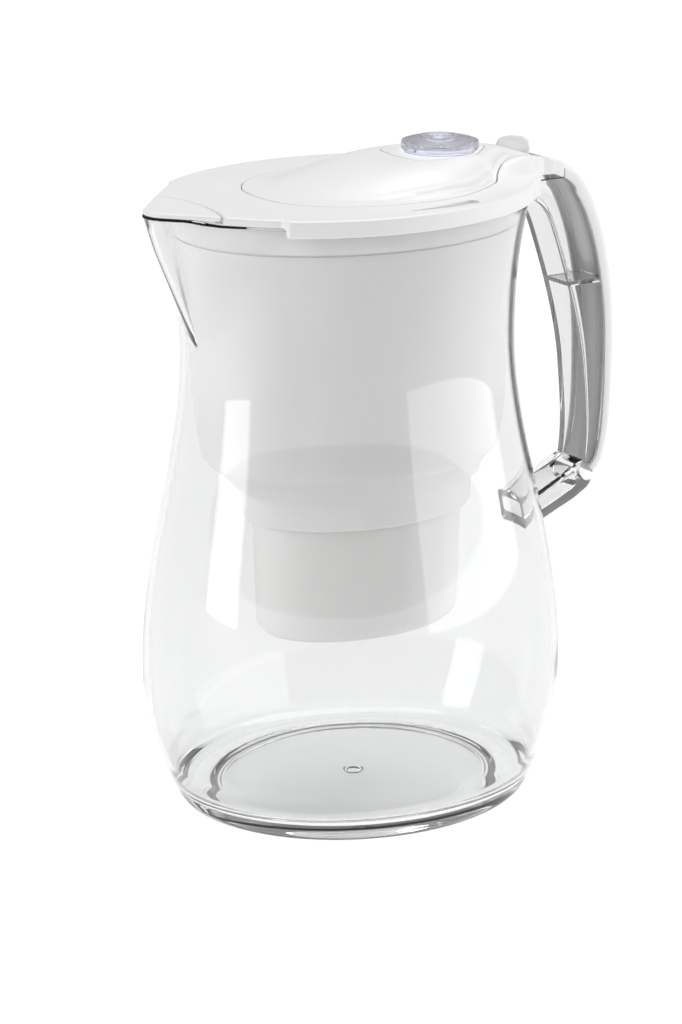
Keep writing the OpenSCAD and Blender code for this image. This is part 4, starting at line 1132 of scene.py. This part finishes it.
class PITCHER_OT_counter(bpy.types.Operator):
    """Build the counter: its panel, the numbered dial and the clear knob"""

    bl_idname = "pitcher.counter"
    bl_label = "Counter"

    def execute(self, context):
        s = settings()
        c = s.counter
        crown_z = s.lid.plate_z + s.hatch.hatch_rise
        rings = Rings(np.array([c.counter_x, 0.0]), np.radians(np.arange(0, 360, 1.5)))
        radius = reach(pick_outline(PICK_PANEL), rings.middle, rings.angles)
        hole = np.full(len(rings.angles), c.knob_r - 0.9)
        rings.put(hole * 0.004, crown_z - PANEL_DEPTH)
        rings.put(radius, crown_z - PANEL_DEPTH)
        for t in np.radians([0, 30, 60, 90]):
            rings.put(radius - 0.3 * (1 - cos(t)), crown_z + 0.1 - 0.3 * (1 - sin(t)))
        rings.put(mix(radius, hole, 0.5), crown_z + 0.1)
        rings.put(hole + 0.2, crown_z + 0.1)
        rings.put(hole, crown_z - 0.1)
        rings.put(hole, crown_z - 0.4)
        rings.put(hole * 0.004, crown_z - 0.4)
        look = white_plastic()
        finish_mesh(
            loft(rings.rows), "counter_panel_plate", "filling_hatch", look, ("counter_panel",), angle=36
        )
        self.dial(crown_z)
        self.knob(crown_z)
        return {"FINISHED"}

    def dial(self, crown_z):
        """The fixed dial with a plain number for each month."""
        c = settings().counter
        z = crown_z
        outer = c.knob_r - 1.5
        groove = outer - 5.2  # a low ridge runs inside this radius
        profile = [
            (0.05, z), (outer, z), (outer, z + 0.35), (outer - 0.25, z + 0.5), (groove, z + 0.5),
            (outer - 5.5, z + 0.75), (outer - 6.0, z + 0.75), (outer - 6.3, z + 0.5), (0.05, z + 0.5),
        ]
        angles = np.radians(np.arange(0, 360, 3))
        rows = [ring(polar((c.counter_x, 0), np.full(len(angles), r), angles), h) for r, h in profile]
        finish_mesh(
            loft(rows), "counter_dial_disc", "filling_hatch", dial_plastic(), ("counter_dial",), angle=30
        )
        numbers = []
        for i in range(c.months):
            curve = bpy.data.curves.new(f"number_{i + 1}", "FONT")
            curve.body = str(i + 1)
            curve.size = 3.6 * MM
            curve.extrude = 0.12 * MM
            curve.align_x = "CENTER"
            curve.align_y = "CENTER"
            obj = bpy.data.objects.new(f"number_{i + 1}", curve)
            bpy.context.scene.collection.objects.link(obj)
            turn = -2 * pi * i / c.months
            far = outer - 2.7
            place = Vector(((c.counter_x + far * cos(turn)) * MM, far * sin(turn) * MM, (z + 0.6) * MM))
            matrix = Matrix.Translation(place) @ Matrix.Rotation(turn - pi / 2, 4, "Z")
            seen = obj.evaluated_get(bpy.context.evaluated_depsgraph_get())
            mesh = bpy.data.meshes.new_from_object(seen)
            mesh.transform(matrix)
            bpy.data.objects.remove(obj)
            numbers.append(mesh)
        bm = bmesh.new()
        for mesh in numbers:
            bm.from_mesh(mesh)
        bmesh.ops.remove_doubles(bm, verts=bm.verts, dist=1e-6)
        finish_mesh(bm, "dial_numbers", "filling_hatch", ink(), (), angle=30)

    def knob(self, crown_z):
        """The clear knob: a domed cap with finger notches, and rings and a shaft underneath."""
        c = settings().counter
        z = crown_z + 0.9
        side_top = z + c.knob_side
        big = (c.knob_r**2 + c.knob_dome**2) / (2 * c.knob_dome)
        angles = np.radians(np.arange(0, 360, 2))
        notch = 0.25 * np.clip(np.cos(angles * 18), 0, 1) ** 2

        def dome(r):
            return side_top + c.knob_dome - big + sqrt(big * big - r * r)

        profile = []
        edge = 0.6
        for r in (0.05, 2, 4, 6, 8, 9.2):
            profile.append((r, dome(r) - (0.25 if r > 7 and r < 9 else 0), 0))
        profile += [(9.6, dome(9.6), 0), (11, dome(11), 0), (13, dome(13), 0.1), (14.6, dome(14.6), 0.4)]
        for t in np.radians([90, 60, 30, 0]):
            profile.append((c.knob_r - edge * (1 - cos(t)), side_top + 0.1 - edge * (1 - sin(t)), 1))
        profile += [
            (c.knob_r, z + 0.5, 1), (c.knob_r - 0.2, z + 0.1, 1), (c.knob_r - 0.5, z, 1), (c.knob_r - 1.5, z, 0.3),
        ]
        inside = c.knob_r - 1.8
        shaft = c.shaft_r
        profile += [
            (inside, z + 0.2, 0), (inside, z + 1.4, 0), (inside - 0.6, z + 1.7, 0),
            (shaft + 5.4, z + 1.7, 0), (shaft + 5.0, z + 1.3, 0), (shaft + 4.4, z + 1.3, 0), (shaft + 4.0, z + 1.7, 0),
            (shaft + 1, z + 1.7, 0), (shaft + 0.2, z + 1.3, 0), (shaft, z + 0.6, 0),
            (shaft, crown_z - 9, 0), (0.05, crown_z - 9, 0),
        ]
        rows = []
        for r, h, share in profile:
            rows.append(ring(polar((c.counter_x, 0), r - notch * share, angles), h))
        look = tinted_clear()
        finish_mesh(
            loft(rows), "counter_knob_cap", "counter_knob", look, ("counter_knob",), angle=28
        )


# ------------------------------------------------------------------ funnel and cartridge


FLANGE_T = 1.6  # thickness of the funnel's flange
COLLAR_GROOVE = ((0, 0.3), (0.2, 0), (1.5, 0), (1.5, -0.9), (0.7, -1.0))  # inset, height from the collar's foot
HOPPER_EDGE = ((0.5, 3.2), (1.4, 1.6), (2.8, 0.2), (5, -1.0))  # inset, height from the hopper's lower edge
FLANGE_SHORT = 2.4  # how far the flange stops short beside the spout


class PITCHER_OT_funnel(bpy.types.Operator):
    """Build the milky funnel with its collar, hopper and cartridge pocket"""

    bl_idname = "pitcher.funnel"
    bl_label = "Funnel"

    def execute(self, context):
        s = settings()
        f = s.funnel
        j = s.jug
        t = f.funnel_t
        angles = np.radians(np.arange(0, 360, 2.5))
        rim = j.rim_z
        flange = top_of("funnel") - FLANGE_T
        collar = rim - f.collar_h
        top = top_of("funnel")
        neck_a = jug_a(collar) - j.wall - 0.5
        neck_b = jug_b(collar) - j.wall - 0.5
        waist_a = j.waist_len / 2 - j.wall - 0.9
        waist_b = j.waist_wid / 2 - j.wall - 0.9
        edge_a = f.hopper_len / 2
        edge_b = f.hopper_wid / 2
        pa = f.pocket_len / 2
        pb = f.pocket_wid / 2
        foot_cx = jug_cx(f.hopper_z)
        mid_z = mix(j.waist_z, rim, 0.45)
        stops = [  # height, half length, half width, middle
            (collar - 1.2, neck_a - 0.6, neck_b - 0.6, jug_cx(collar)),
            (mid_z, mix(waist_a, neck_a, 0.35), mix(waist_b, neck_b, 0.35), jug_cx(mid_z)),
            (j.waist_z, waist_a, waist_b, jug_cx(j.waist_z)),
            (f.hopper_z + 14, mix(edge_a, waist_a, 0.25) + 0.6, mix(edge_b, waist_b, 0.25) + 0.6, foot_cx),
            (f.hopper_z + 5, edge_a, edge_b, foot_cx),
        ][::-1]

        def at(z, inset):
            a = along(z, [(q[0], q[1]) for q in stops]) - inset
            b = along(z, [(q[0], q[2]) for q in stops]) - inset
            cx = along(z, [(q[0], q[3]) for q in stops])
            return ring(oval_line(a, b, cx, angles), z)

        def oval_ring(a, b, z, cx):
            return ring(oval_line(a, b, cx, angles), z)

        def flange_ring(inset, z):
            """The flange lies on the jug's rim, and stops short of it beside the spout."""
            radius = oval(j.rim_len / 2, j.rim_wid / 2, angles) - inset
            radius = radius - FLANGE_SHORT * spout_side(angles, FLANGE_SPREAD)
            return ring(polar((jug_cx(rim), 0), radius, angles), z)

        rows = [
            oval_ring(neck_a - t, neck_b - t, top, jug_cx(rim)),
            flange_ring(0.8, top),
            flange_ring(0.5, top - 0.3),
            flange_ring(0.5, flange),
            oval_ring(neck_a + 0.2, neck_b + 0.2, flange, jug_cx(rim)),
        ]
        rows += [oval_ring(neck_a - q, neck_b - q, collar + z, jug_cx(collar)) for q, z in COLLAR_GROOVE]
        levels = np.linspace(collar - 1.2, f.hopper_z + 5, 30)
        rows += [at(z, 0) for z in levels]
        rows += [oval_ring(edge_a - q, edge_b - q, f.hopper_z + z, foot_cx) for q, z in HOPPER_EDGE]
        pocket = (
            (4, f.pocket_top + 1.2), (1.6, f.pocket_top - 0.4), (0.5, f.pocket_top - 2.6),
            (0, f.pocket_z + 1.2), (-0.4, f.pocket_z + 0.3), (-1.2, f.pocket_z),
        )
        rows += [oval_ring(pa + q, pb + q, z, f.cart_x) for q, z in pocket]
        hole_a = f.cart_len / 2 + 0.9
        hole_b = f.cart_wid / 2 + 0.9
        rows += [oval_ring(hole_a, hole_b, z, f.cart_x) for z in (f.pocket_z, f.pocket_z + t)]
        pocket_inside = ((0, f.pocket_z + t), (0.3, f.pocket_top - 1), (2, f.pocket_top + 1.6))
        rows += [oval_ring(pa + q - t, pb + q - t, z, f.cart_x) for q, z in pocket_inside]
        rows.append(oval_ring(edge_a - 6, edge_b - 6, f.hopper_z + 0.8, foot_cx))
        rows += [at(z, t) for z in levels[::-1]]
        bm = loft(rows, closed=True)
        finish_mesh(bm, "funnel_shell", "funnel", milky_plastic(), ("funnel",), angle=40)
        return {"FINISHED"}


SEAL_T = 1.6  # thickness of the seal that the cartridge's ledge rests on
CART_BEND = 6  # radius round the cartridge's foot


class PITCHER_OT_cartridge(bpy.types.Operator):
    """Build the cartridge's shell"""

    bl_idname = "pitcher.cartridge"
    bl_label = "Cartridge"

    def execute(self, context):
        f = settings().funnel
        angles = np.radians(np.arange(0, 360, 2.5))
        seat = f.pocket_z + f.funnel_t
        t = f.cart_t

        def at(inset, z):
            taper = f.cart_taper * max(0, (seat - z) / (seat - f.cart_z))
            a = f.cart_len / 2 - taper - inset
            b = f.cart_wid / 2 - taper - inset
            return ring(oval_line(a, b, f.cart_x, angles), z)

        rest = seat + SEAL_T
        rows = [at(t, f.cart_top), at(0.3, f.cart_top), at(0, f.cart_top - 0.3), at(0, rest + 1.6)]
        rows += [at(-1.4, rest + 1.6), at(-1.7, rest + 1.3), at(-1.7, rest), at(0, rest)]
        rows += [at(0, z) for z in np.linspace(seat, f.cart_z + CART_BEND, 9)]
        turn = np.radians([15, 30, 45, 60, 75, 90])
        rows += [at(CART_BEND * (1 - cos(a)), f.cart_z + CART_BEND * (1 - sin(a))) for a in turn]
        rows += [at(9, f.cart_z), at(9, f.cart_z + t), at(6.5, f.cart_z + t), at(t, f.cart_z + CART_BEND)]
        rows += [at(t, z) for z in np.linspace(f.cart_z + 12, seat, 5)]
        bm = loft(rows, closed=True)
        look = inner_plastic()
        finish_mesh(bm, "cartridge_cup", "cartridge", look, ("cartridge_shell",), angle=38)
        return {"FINISHED"}


class PITCHER_OT_fittings(bpy.types.Operator):
    """Finish the pieces that keep their CAD shape: pins, washer, clip, seal, screens, cap and grille"""

    bl_idname = "pitcher.fittings"
    bl_label = "Fittings"

    def execute(self, context):
        looks = {
            "spout_flap_pin": pin_steel,
            "hatch_hinge_pin": pin_steel,
            "counter_washer": soft_rubber,
            "counter_clip": inner_plastic,
            "cartridge_seal": soft_rubber,
            "cartridge_cap": inner_plastic,
            "inlet_screen": screen_fabric,
            "outlet_screen": screen_fabric,
            "filter_media": filter_granules,
            "outlet_grille": inner_plastic,
        }
        for node, look in looks.items():
            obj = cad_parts[node]
            obj.data.materials.clear()
            obj.data.materials.append(look())
        return {"FINISHED"}


# ------------------------------------------------------------------ materials


class Num:
    """A number that flows between nodes, so that shader maths reads as an expression."""

    def __init__(self, paint, socket):
        self.paint = paint
        self.socket = socket

    def _math(self, operation, first, second):
        return self.paint.node("ShaderNodeMath", {"operation": operation}, {0: first, 1: second}).value()

    def __add__(self, other):
        return self._math("ADD", self, other)

    def __mul__(self, other):
        return self._math("MULTIPLY", self, other)

    __radd__ = __add__
    __rmul__ = __mul__


class Made:
    """A node just made, with short ways to its outputs."""

    def __init__(self, paint, node):
        self.paint = paint
        self.node = node

    def value(self, name=0):
        return Num(self.paint, self.node.outputs[name])

    def out(self, name=0):
        return self.node.outputs[name]


class Paint:
    """One material's nodes."""

    def __init__(self, name):
        self.material = bpy.data.materials.new(name)
        self.material.use_nodes = True
        self.tree = self.material.node_tree
        self.tree.nodes.clear()
        self.end = self.tree.nodes.new("ShaderNodeOutputMaterial")
        self.place = self.node("ShaderNodeTexCoord").out("Object")

    def node(self, kind, choices=None, feeds=None):
        """Adds a node, sets its choices first, and then the values or links of its sockets."""
        node = self.tree.nodes.new(kind)
        for key, value in (choices or {}).items():
            if key == "stops":
                ramp = node.color_ramp
                for i, (at, colour) in enumerate(value):
                    stop = ramp.elements[i] if i < len(ramp.elements) else ramp.elements.new(at)
                    stop.position = at
                    stop.color = colour
            else:
                setattr(node, key, value)
        for key, value in (feeds or {}).items():
            self.feed(node, key, value)
        return Made(self, node)

    def feed(self, node, key, value):
        """Sets a socket to a value, or links it."""
        socket = node.inputs[key]
        if isinstance(value, Num):
            value = value.socket
        if isinstance(value, bpy.types.NodeSocket):
            self.tree.links.new(value, socket)
        else:
            socket.default_value = value

    def noise(self, scale, detail=3.0, rough=0.5):
        """Even noise over the object, from 0 to 1."""
        feeds = {"Vector": self.place, "Scale": scale, "Detail": detail, "Roughness": rough}
        return self.node("ShaderNodeTexNoise", None, feeds).value("Fac")

    def blend(self, share, first, second):
        """A colour between two colours."""
        feeds = {"Factor": share, 6: (*first, 1), 7: (*second, 1)}
        return self.node("ShaderNodeMix", {"data_type": "RGBA"}, feeds).out(2)

    def bump(self, height, strength, distance):
        """A normal from a height."""
        feeds = {"Height": height, "Strength": strength, "Distance": distance}
        return self.node("ShaderNodeBump", None, feeds).out()

    def shade(self, **sockets):
        """The surface's shader, with its sockets named in words."""
        feeds = {key.replace("_", " "): value for key, value in sockets.items()}
        return self.node("ShaderNodeBsdfPrincipled", None, feeds)

    def done(self, shader):
        self.tree.links.new(shader.out(), self.end.inputs["Surface"])
        return self.material


CLEAR_IOR = 1.47  # how strongly the clear plastics bend light
MADE = {}  # the materials made so far, by the name of their maker


def once(maker):
    """Makes a material the first time that it is asked for."""

    def get():
        if maker.__name__ not in MADE:
            MADE[maker.__name__] = maker()
        return MADE[maker.__name__]

    return get


def shifted(colour, share):
    """A colour made darker by a share."""
    return tuple(c * (1 - share) for c in colour)


@once
def clear_plastic():
    """Clear moulded plastic that bends light and lets the lamps through."""
    p = Paint("clear_plastic")
    tone = tuple(settings().finish.clear)
    colour = p.blend(p.noise(9, 2), tone, shifted(tone, 0.012))
    rough = p.noise(60, 2) * 0.02 + 0.012
    waves = p.bump(p.noise(26, 1), 0.035, 0.002)
    glass = p.shade(Base_Color=colour, Roughness=rough, IOR=CLEAR_IOR, Transmission_Weight=1.0, Normal=waves)
    return through_for_lamps(p, glass, (0.93, 0.94, 0.94, 1))


def through_for_lamps(p, glass, tone):
    """Lets the light of the lamps pass straight through a clear surface."""
    path = p.node("ShaderNodeLightPath").out("Is Shadow Ray")
    passing = p.node("ShaderNodeBsdfTransparent", None, {"Color": tone})
    return p.done(p.node("ShaderNodeMixShader", None, {0: path, 1: glass.out(), 2: passing.out()}))


@once
def tinted_clear():
    """Clear plastic with a faint blue grey tint."""
    p = Paint("tinted_clear")
    tone = tuple(settings().finish.lens)
    colour = p.blend(p.noise(120, 2), tone, shifted(tone, 0.05))
    rough = p.noise(400, 2) * 0.03 + 0.01
    glass = p.shade(Base_Color=colour, Roughness=rough, IOR=CLEAR_IOR, Transmission_Weight=0.86)
    return through_for_lamps(p, glass, (0.88, 0.89, 0.93, 1))


def moulded(name, tone, gloss, grain, depth, sheen=0.0):
    """Moulded plastic: a slight drift of tone, uneven gloss and a fine grain."""
    p = Paint(name)
    colour = p.blend(p.noise(16, 3), tone, shifted(tone, 0.025))
    rough = p.noise(70, 4) * 0.1 + gloss
    skin = p.bump(p.noise(grain, 3, 0.6), depth, 0.0002)
    shader = p.shade(
        Base_Color=colour, Roughness=rough, IOR=1.48, Normal=skin, Coat_Weight=sheen, Coat_Roughness=0.12
    )
    return p.done(shader)


@once
def white_plastic():
    """Smooth satin white plastic."""
    return moulded("white_gloss", tuple(settings().finish.white), 0.40, 2600, 0.06, 0.08)


@once
def milky_plastic():
    """Milky white plastic of the funnel, which light enters a little way."""
    p = Paint("milky_plastic")
    tone = tuple(settings().finish.milky)
    colour = p.blend(p.noise(12, 3), tone, shifted(tone, 0.03))
    rough = p.noise(50, 3) * 0.12 + 0.36
    skin = p.bump(p.noise(1500, 3), 0.05, 0.0002)
    shader = p.shade(
        Base_Color=colour, Roughness=rough, IOR=1.46, Subsurface_Weight=0.25,
        Subsurface_Radius=(0.004, 0.004, 0.0035), Subsurface_Scale=1.0, Normal=skin,
    )
    return p.done(shader)


@once
def inner_plastic():
    """Fine matt white plastic."""
    return moulded("inner_plastic", tuple(settings().finish.inner), 0.45, 1800, 0.12)


@once
def dial_plastic():
    """Matt grey plastic of the dial, with fine turned rings."""
    c = settings().counter
    p = Paint("dial_grey")
    tone = tuple(settings().finish.dial)
    feeds = {"Vector": p.place, "Location": (-c.counter_x * MM, 0, 0)}
    feeds = {"Vector": p.node("ShaderNodeMapping", None, feeds).out(), "Scale": 900, "Distortion": 0.0}
    rings = p.node("ShaderNodeTexWave", {"wave_type": "RINGS", "rings_direction": "Z"}, feeds).value("Fac")
    colour = p.blend(p.noise(300, 3), tone, shifted(tone, 0.12))
    rough = rings * 0.12 + 0.4
    return p.done(p.shade(Base_Color=colour, Roughness=rough, Normal=p.bump(rings, 0.15, 0.0002)))


@once
def ink():
    """Dark print of the numbers."""
    p = Paint("number_ink")
    tone = tuple(settings().finish.ink)
    colour = p.blend(p.noise(900, 2), tone, shifted(tone, 0.3))
    return p.done(p.shade(Base_Color=colour, Roughness=p.noise(700, 2) * 0.2 + 0.4))


@once
def soft_rubber():
    """Soft matt rubber."""
    p = Paint("soft_rubber")
    tone = tuple(settings().finish.rubber)
    colour = p.blend(p.noise(90, 3), tone, shifted(tone, 0.2))
    rough = p.noise(200, 3) * 0.2 + 0.6
    skin = p.bump(p.noise(1200, 4), 0.2, 0.0002)
    return p.done(p.shade(Base_Color=colour, Roughness=rough, Normal=skin))


@once
def screen_fabric():
    """Fine woven mesh."""
    p = Paint("screen_fabric")
    tone = tuple(settings().finish.screen)
    feeds = {"Vector": p.place, "Scale": 1600}
    across = p.node("ShaderNodeTexWave", {"bands_direction": "X"}, feeds).value("Fac")
    along_y = p.node("ShaderNodeTexWave", {"bands_direction": "Y"}, feeds).value("Fac")
    weave = across * along_y
    colour = p.blend(weave, shifted(tone, 0.5), tone)
    rough = weave * -0.2 + 0.85
    return p.done(p.shade(Base_Color=colour, Roughness=rough, Normal=p.bump(weave, 0.5, 0.0003)))


@once
def filter_granules():
    """Dark packed granules with pale resin beads among them."""
    p = Paint("filter_granules")
    tone = tuple(settings().finish.granules)
    cells = p.node("ShaderNodeTexVoronoi", None, {"Vector": p.place, "Scale": 900})
    stops = [(0.62, (0, 0, 0, 1)), (0.7, (1, 1, 1, 1))]
    pale = p.node("ShaderNodeValToRGB", {"stops": stops}, {"Fac": cells.value("Color")}).value("Color")
    colour = p.blend(pale, tone, (0.55, 0.48, 0.36))
    height = cells.value("Distance")
    rough = height * 0.4 + 0.55
    return p.done(p.shade(Base_Color=colour, Roughness=rough, Normal=p.bump(height * -1.0, 0.8, 0.0006)))


@once
def pin_steel():
    """Drawn wire with fine lines along it."""
    p = Paint("pin_steel")
    tone = tuple(settings().finish.steel)
    stretched = p.node("ShaderNodeMapping", None, {"Vector": p.place, "Scale": (1, 0.03, 1)}).out()
    lines = p.node("ShaderNodeTexNoise", None, {"Vector": stretched, "Scale": 3000, "Detail": 3}).value("Fac")
    colour = p.blend(lines, tone, shifted(tone, 0.25))
    return p.done(p.shade(Base_Color=colour, Metallic=lines * 0.05 + 0.95, Roughness=lines * 0.25 + 0.18))


@once
def table_top():
    """Plain pale floor."""
    p = Paint("table_top")
    tone = tuple(settings().finish.table)
    colour = p.blend(p.noise(3, 2), tone, shifted(tone, 0.01))
    shader = p.shade(
        Base_Color=colour, Roughness=p.noise(5, 2) * 0.1 + 0.6, Specular_IOR_Level=0.1,
        Emission_Color=(1, 1, 1, 1), Emission_Strength=settings().studio.glow,
    )
    return p.done(shader)


# ------------------------------------------------------------------ stage


SENSOR = 36.0  # width of the camera's sensor
PICTURE = (682, 1024)  # the photograph's width and height
FLOOR_HALF = 20.0  # half the floor's width, in metres
LAMPS = (  # name, metres to the right, towards the camera and up, size, power
    ("right_box", 1.0, 0.15, 0.04, (1.2, 1.4), 8.4),
    ("left_box", -0.95, 0.55, 0.15, (0.5, 1.1), 5.6),
)


def lamp(name, place, size, power):
    """A soft rectangular light that faces the jug."""
    data = bpy.data.lights.new(name, "AREA")
    data.shape = "RECTANGLE"
    data.size, data.size_y = size
    data.energy = power
    obj = bpy.data.objects.new(name, data)
    bpy.context.scene.collection.objects.link(obj)
    obj.location = place
    aim = Vector((0, 0, 0.14)) - Vector(place)
    obj.rotation_euler = aim.to_track_quat("-Z", "Y").to_euler()
    return obj


class PITCHER_OT_stage(bpy.types.Operator):
    """Set the floor, the lights and the camera"""

    bl_idname = "pitcher.stage"
    bl_label = "Stage"

    def execute(self, context):
        s = settings().studio
        scene = context.scene
        bm = bmesh.new()
        bmesh.ops.create_grid(bm, x_segments=1, y_segments=1, size=FLOOR_HALF)
        mesh = bpy.data.meshes.new("floor")
        bm.to_mesh(mesh)
        bm.free()
        floor = bpy.data.objects.new("floor", mesh)
        scene.collection.objects.link(floor)
        mesh.materials.append(table_top())

        world = bpy.data.worlds.new("room")
        world.use_nodes = True
        world.node_tree.nodes["Background"].inputs["Color"].default_value = (1, 1, 1, 1)
        world.node_tree.nodes["Background"].inputs["Strength"].default_value = s.sky
        scene.world = world
        scene.view_settings.view_transform = "Standard"

        around = radians(s.azimuth)
        up = radians(s.elevation)
        ahead = Vector((cos(up) * -sin(around), cos(up) * cos(around), -sin(up)))
        target = Vector((0, 0, s.target_z * MM))
        data = bpy.data.cameras.new("camera")
        camera = bpy.data.objects.new("camera", data)
        scene.collection.objects.link(camera)
        camera.location = target - ahead * s.distance * MM
        camera.rotation_euler = ahead.to_track_quat("-Z", "Y").to_euler()
        data.sensor_width = SENSOR
        data.sensor_fit = "AUTO"
        data.lens = SENSOR * s.focal
        width, height = PICTURE
        data.shift_x = (width / 2 - s.target_u) / height
        data.shift_y = (s.target_v - height / 2) / height
        data.clip_end = 50
        scene.camera = camera
        right = Vector((cos(around), sin(around), 0))
        for name, aside, before, high, size, power in LAMPS:
            lamp(name, target + right * aside - ahead * before + Vector((0, 0, high)), size, power)
        data = bpy.data.lights.new("top_light", "SUN")
        data.energy = s.top
        data.angle = radians(50)
        sun = bpy.data.objects.new("top_light", data)
        scene.collection.objects.link(sun)
        aim = -ahead * 0.25 + Vector((0, 0, -1)) - right * 0.12
        sun.rotation_euler = aim.to_track_quat("-Z", "Y").to_euler()
        return {"FINISHED"}


# ------------------------------------------------------------------ add-on


OPERATORS = (
    PITCHER_OT_stage,
    PITCHER_OT_jug,
    PITCHER_OT_handle_cover,
    PITCHER_OT_lid,
    PITCHER_OT_hatch,
    PITCHER_OT_flap,
    PITCHER_OT_counter,
    PITCHER_OT_funnel,
    PITCHER_OT_cartridge,
    PITCHER_OT_fittings,
)


class PITCHER_PT_panel(bpy.types.Panel):
    """The pitcher's buttons and sizes"""

    bl_label = "Filter Pitcher"
    bl_idname = "PITCHER_PT_panel"
    bl_space_type = "VIEW_3D"
    bl_region_type = "UI"
    bl_category = "Pitcher"

    def draw(self, context):
        for operator in OPERATORS:
            self.layout.operator(operator.bl_idname)
        for name, group in GROUPS.items():
            box = self.layout.box()
            box.label(text=name.title())
            sizes = getattr(context.scene.pitcher, name)
            for key in group.__annotations__:
                box.prop(sizes, key)


CLASSES = (*GROUPS.values(), PitcherSettings, *OPERATORS, PITCHER_PT_panel)


def register():
    for cls in CLASSES:
        bpy.utils.register_class(cls)
    bpy.types.Scene.pitcher = PointerProperty(type=PitcherSettings)


def unregister():
    del bpy.types.Scene.pitcher
    for cls in reversed(CLASSES):
        bpy.utils.unregister_class(cls)


def main():
    register()
    for operator in OPERATORS:
        group, name = operator.bl_idname.split(".")
        getattr(getattr(bpy.ops, group), name)()


if __name__ == "__main__":
    main()
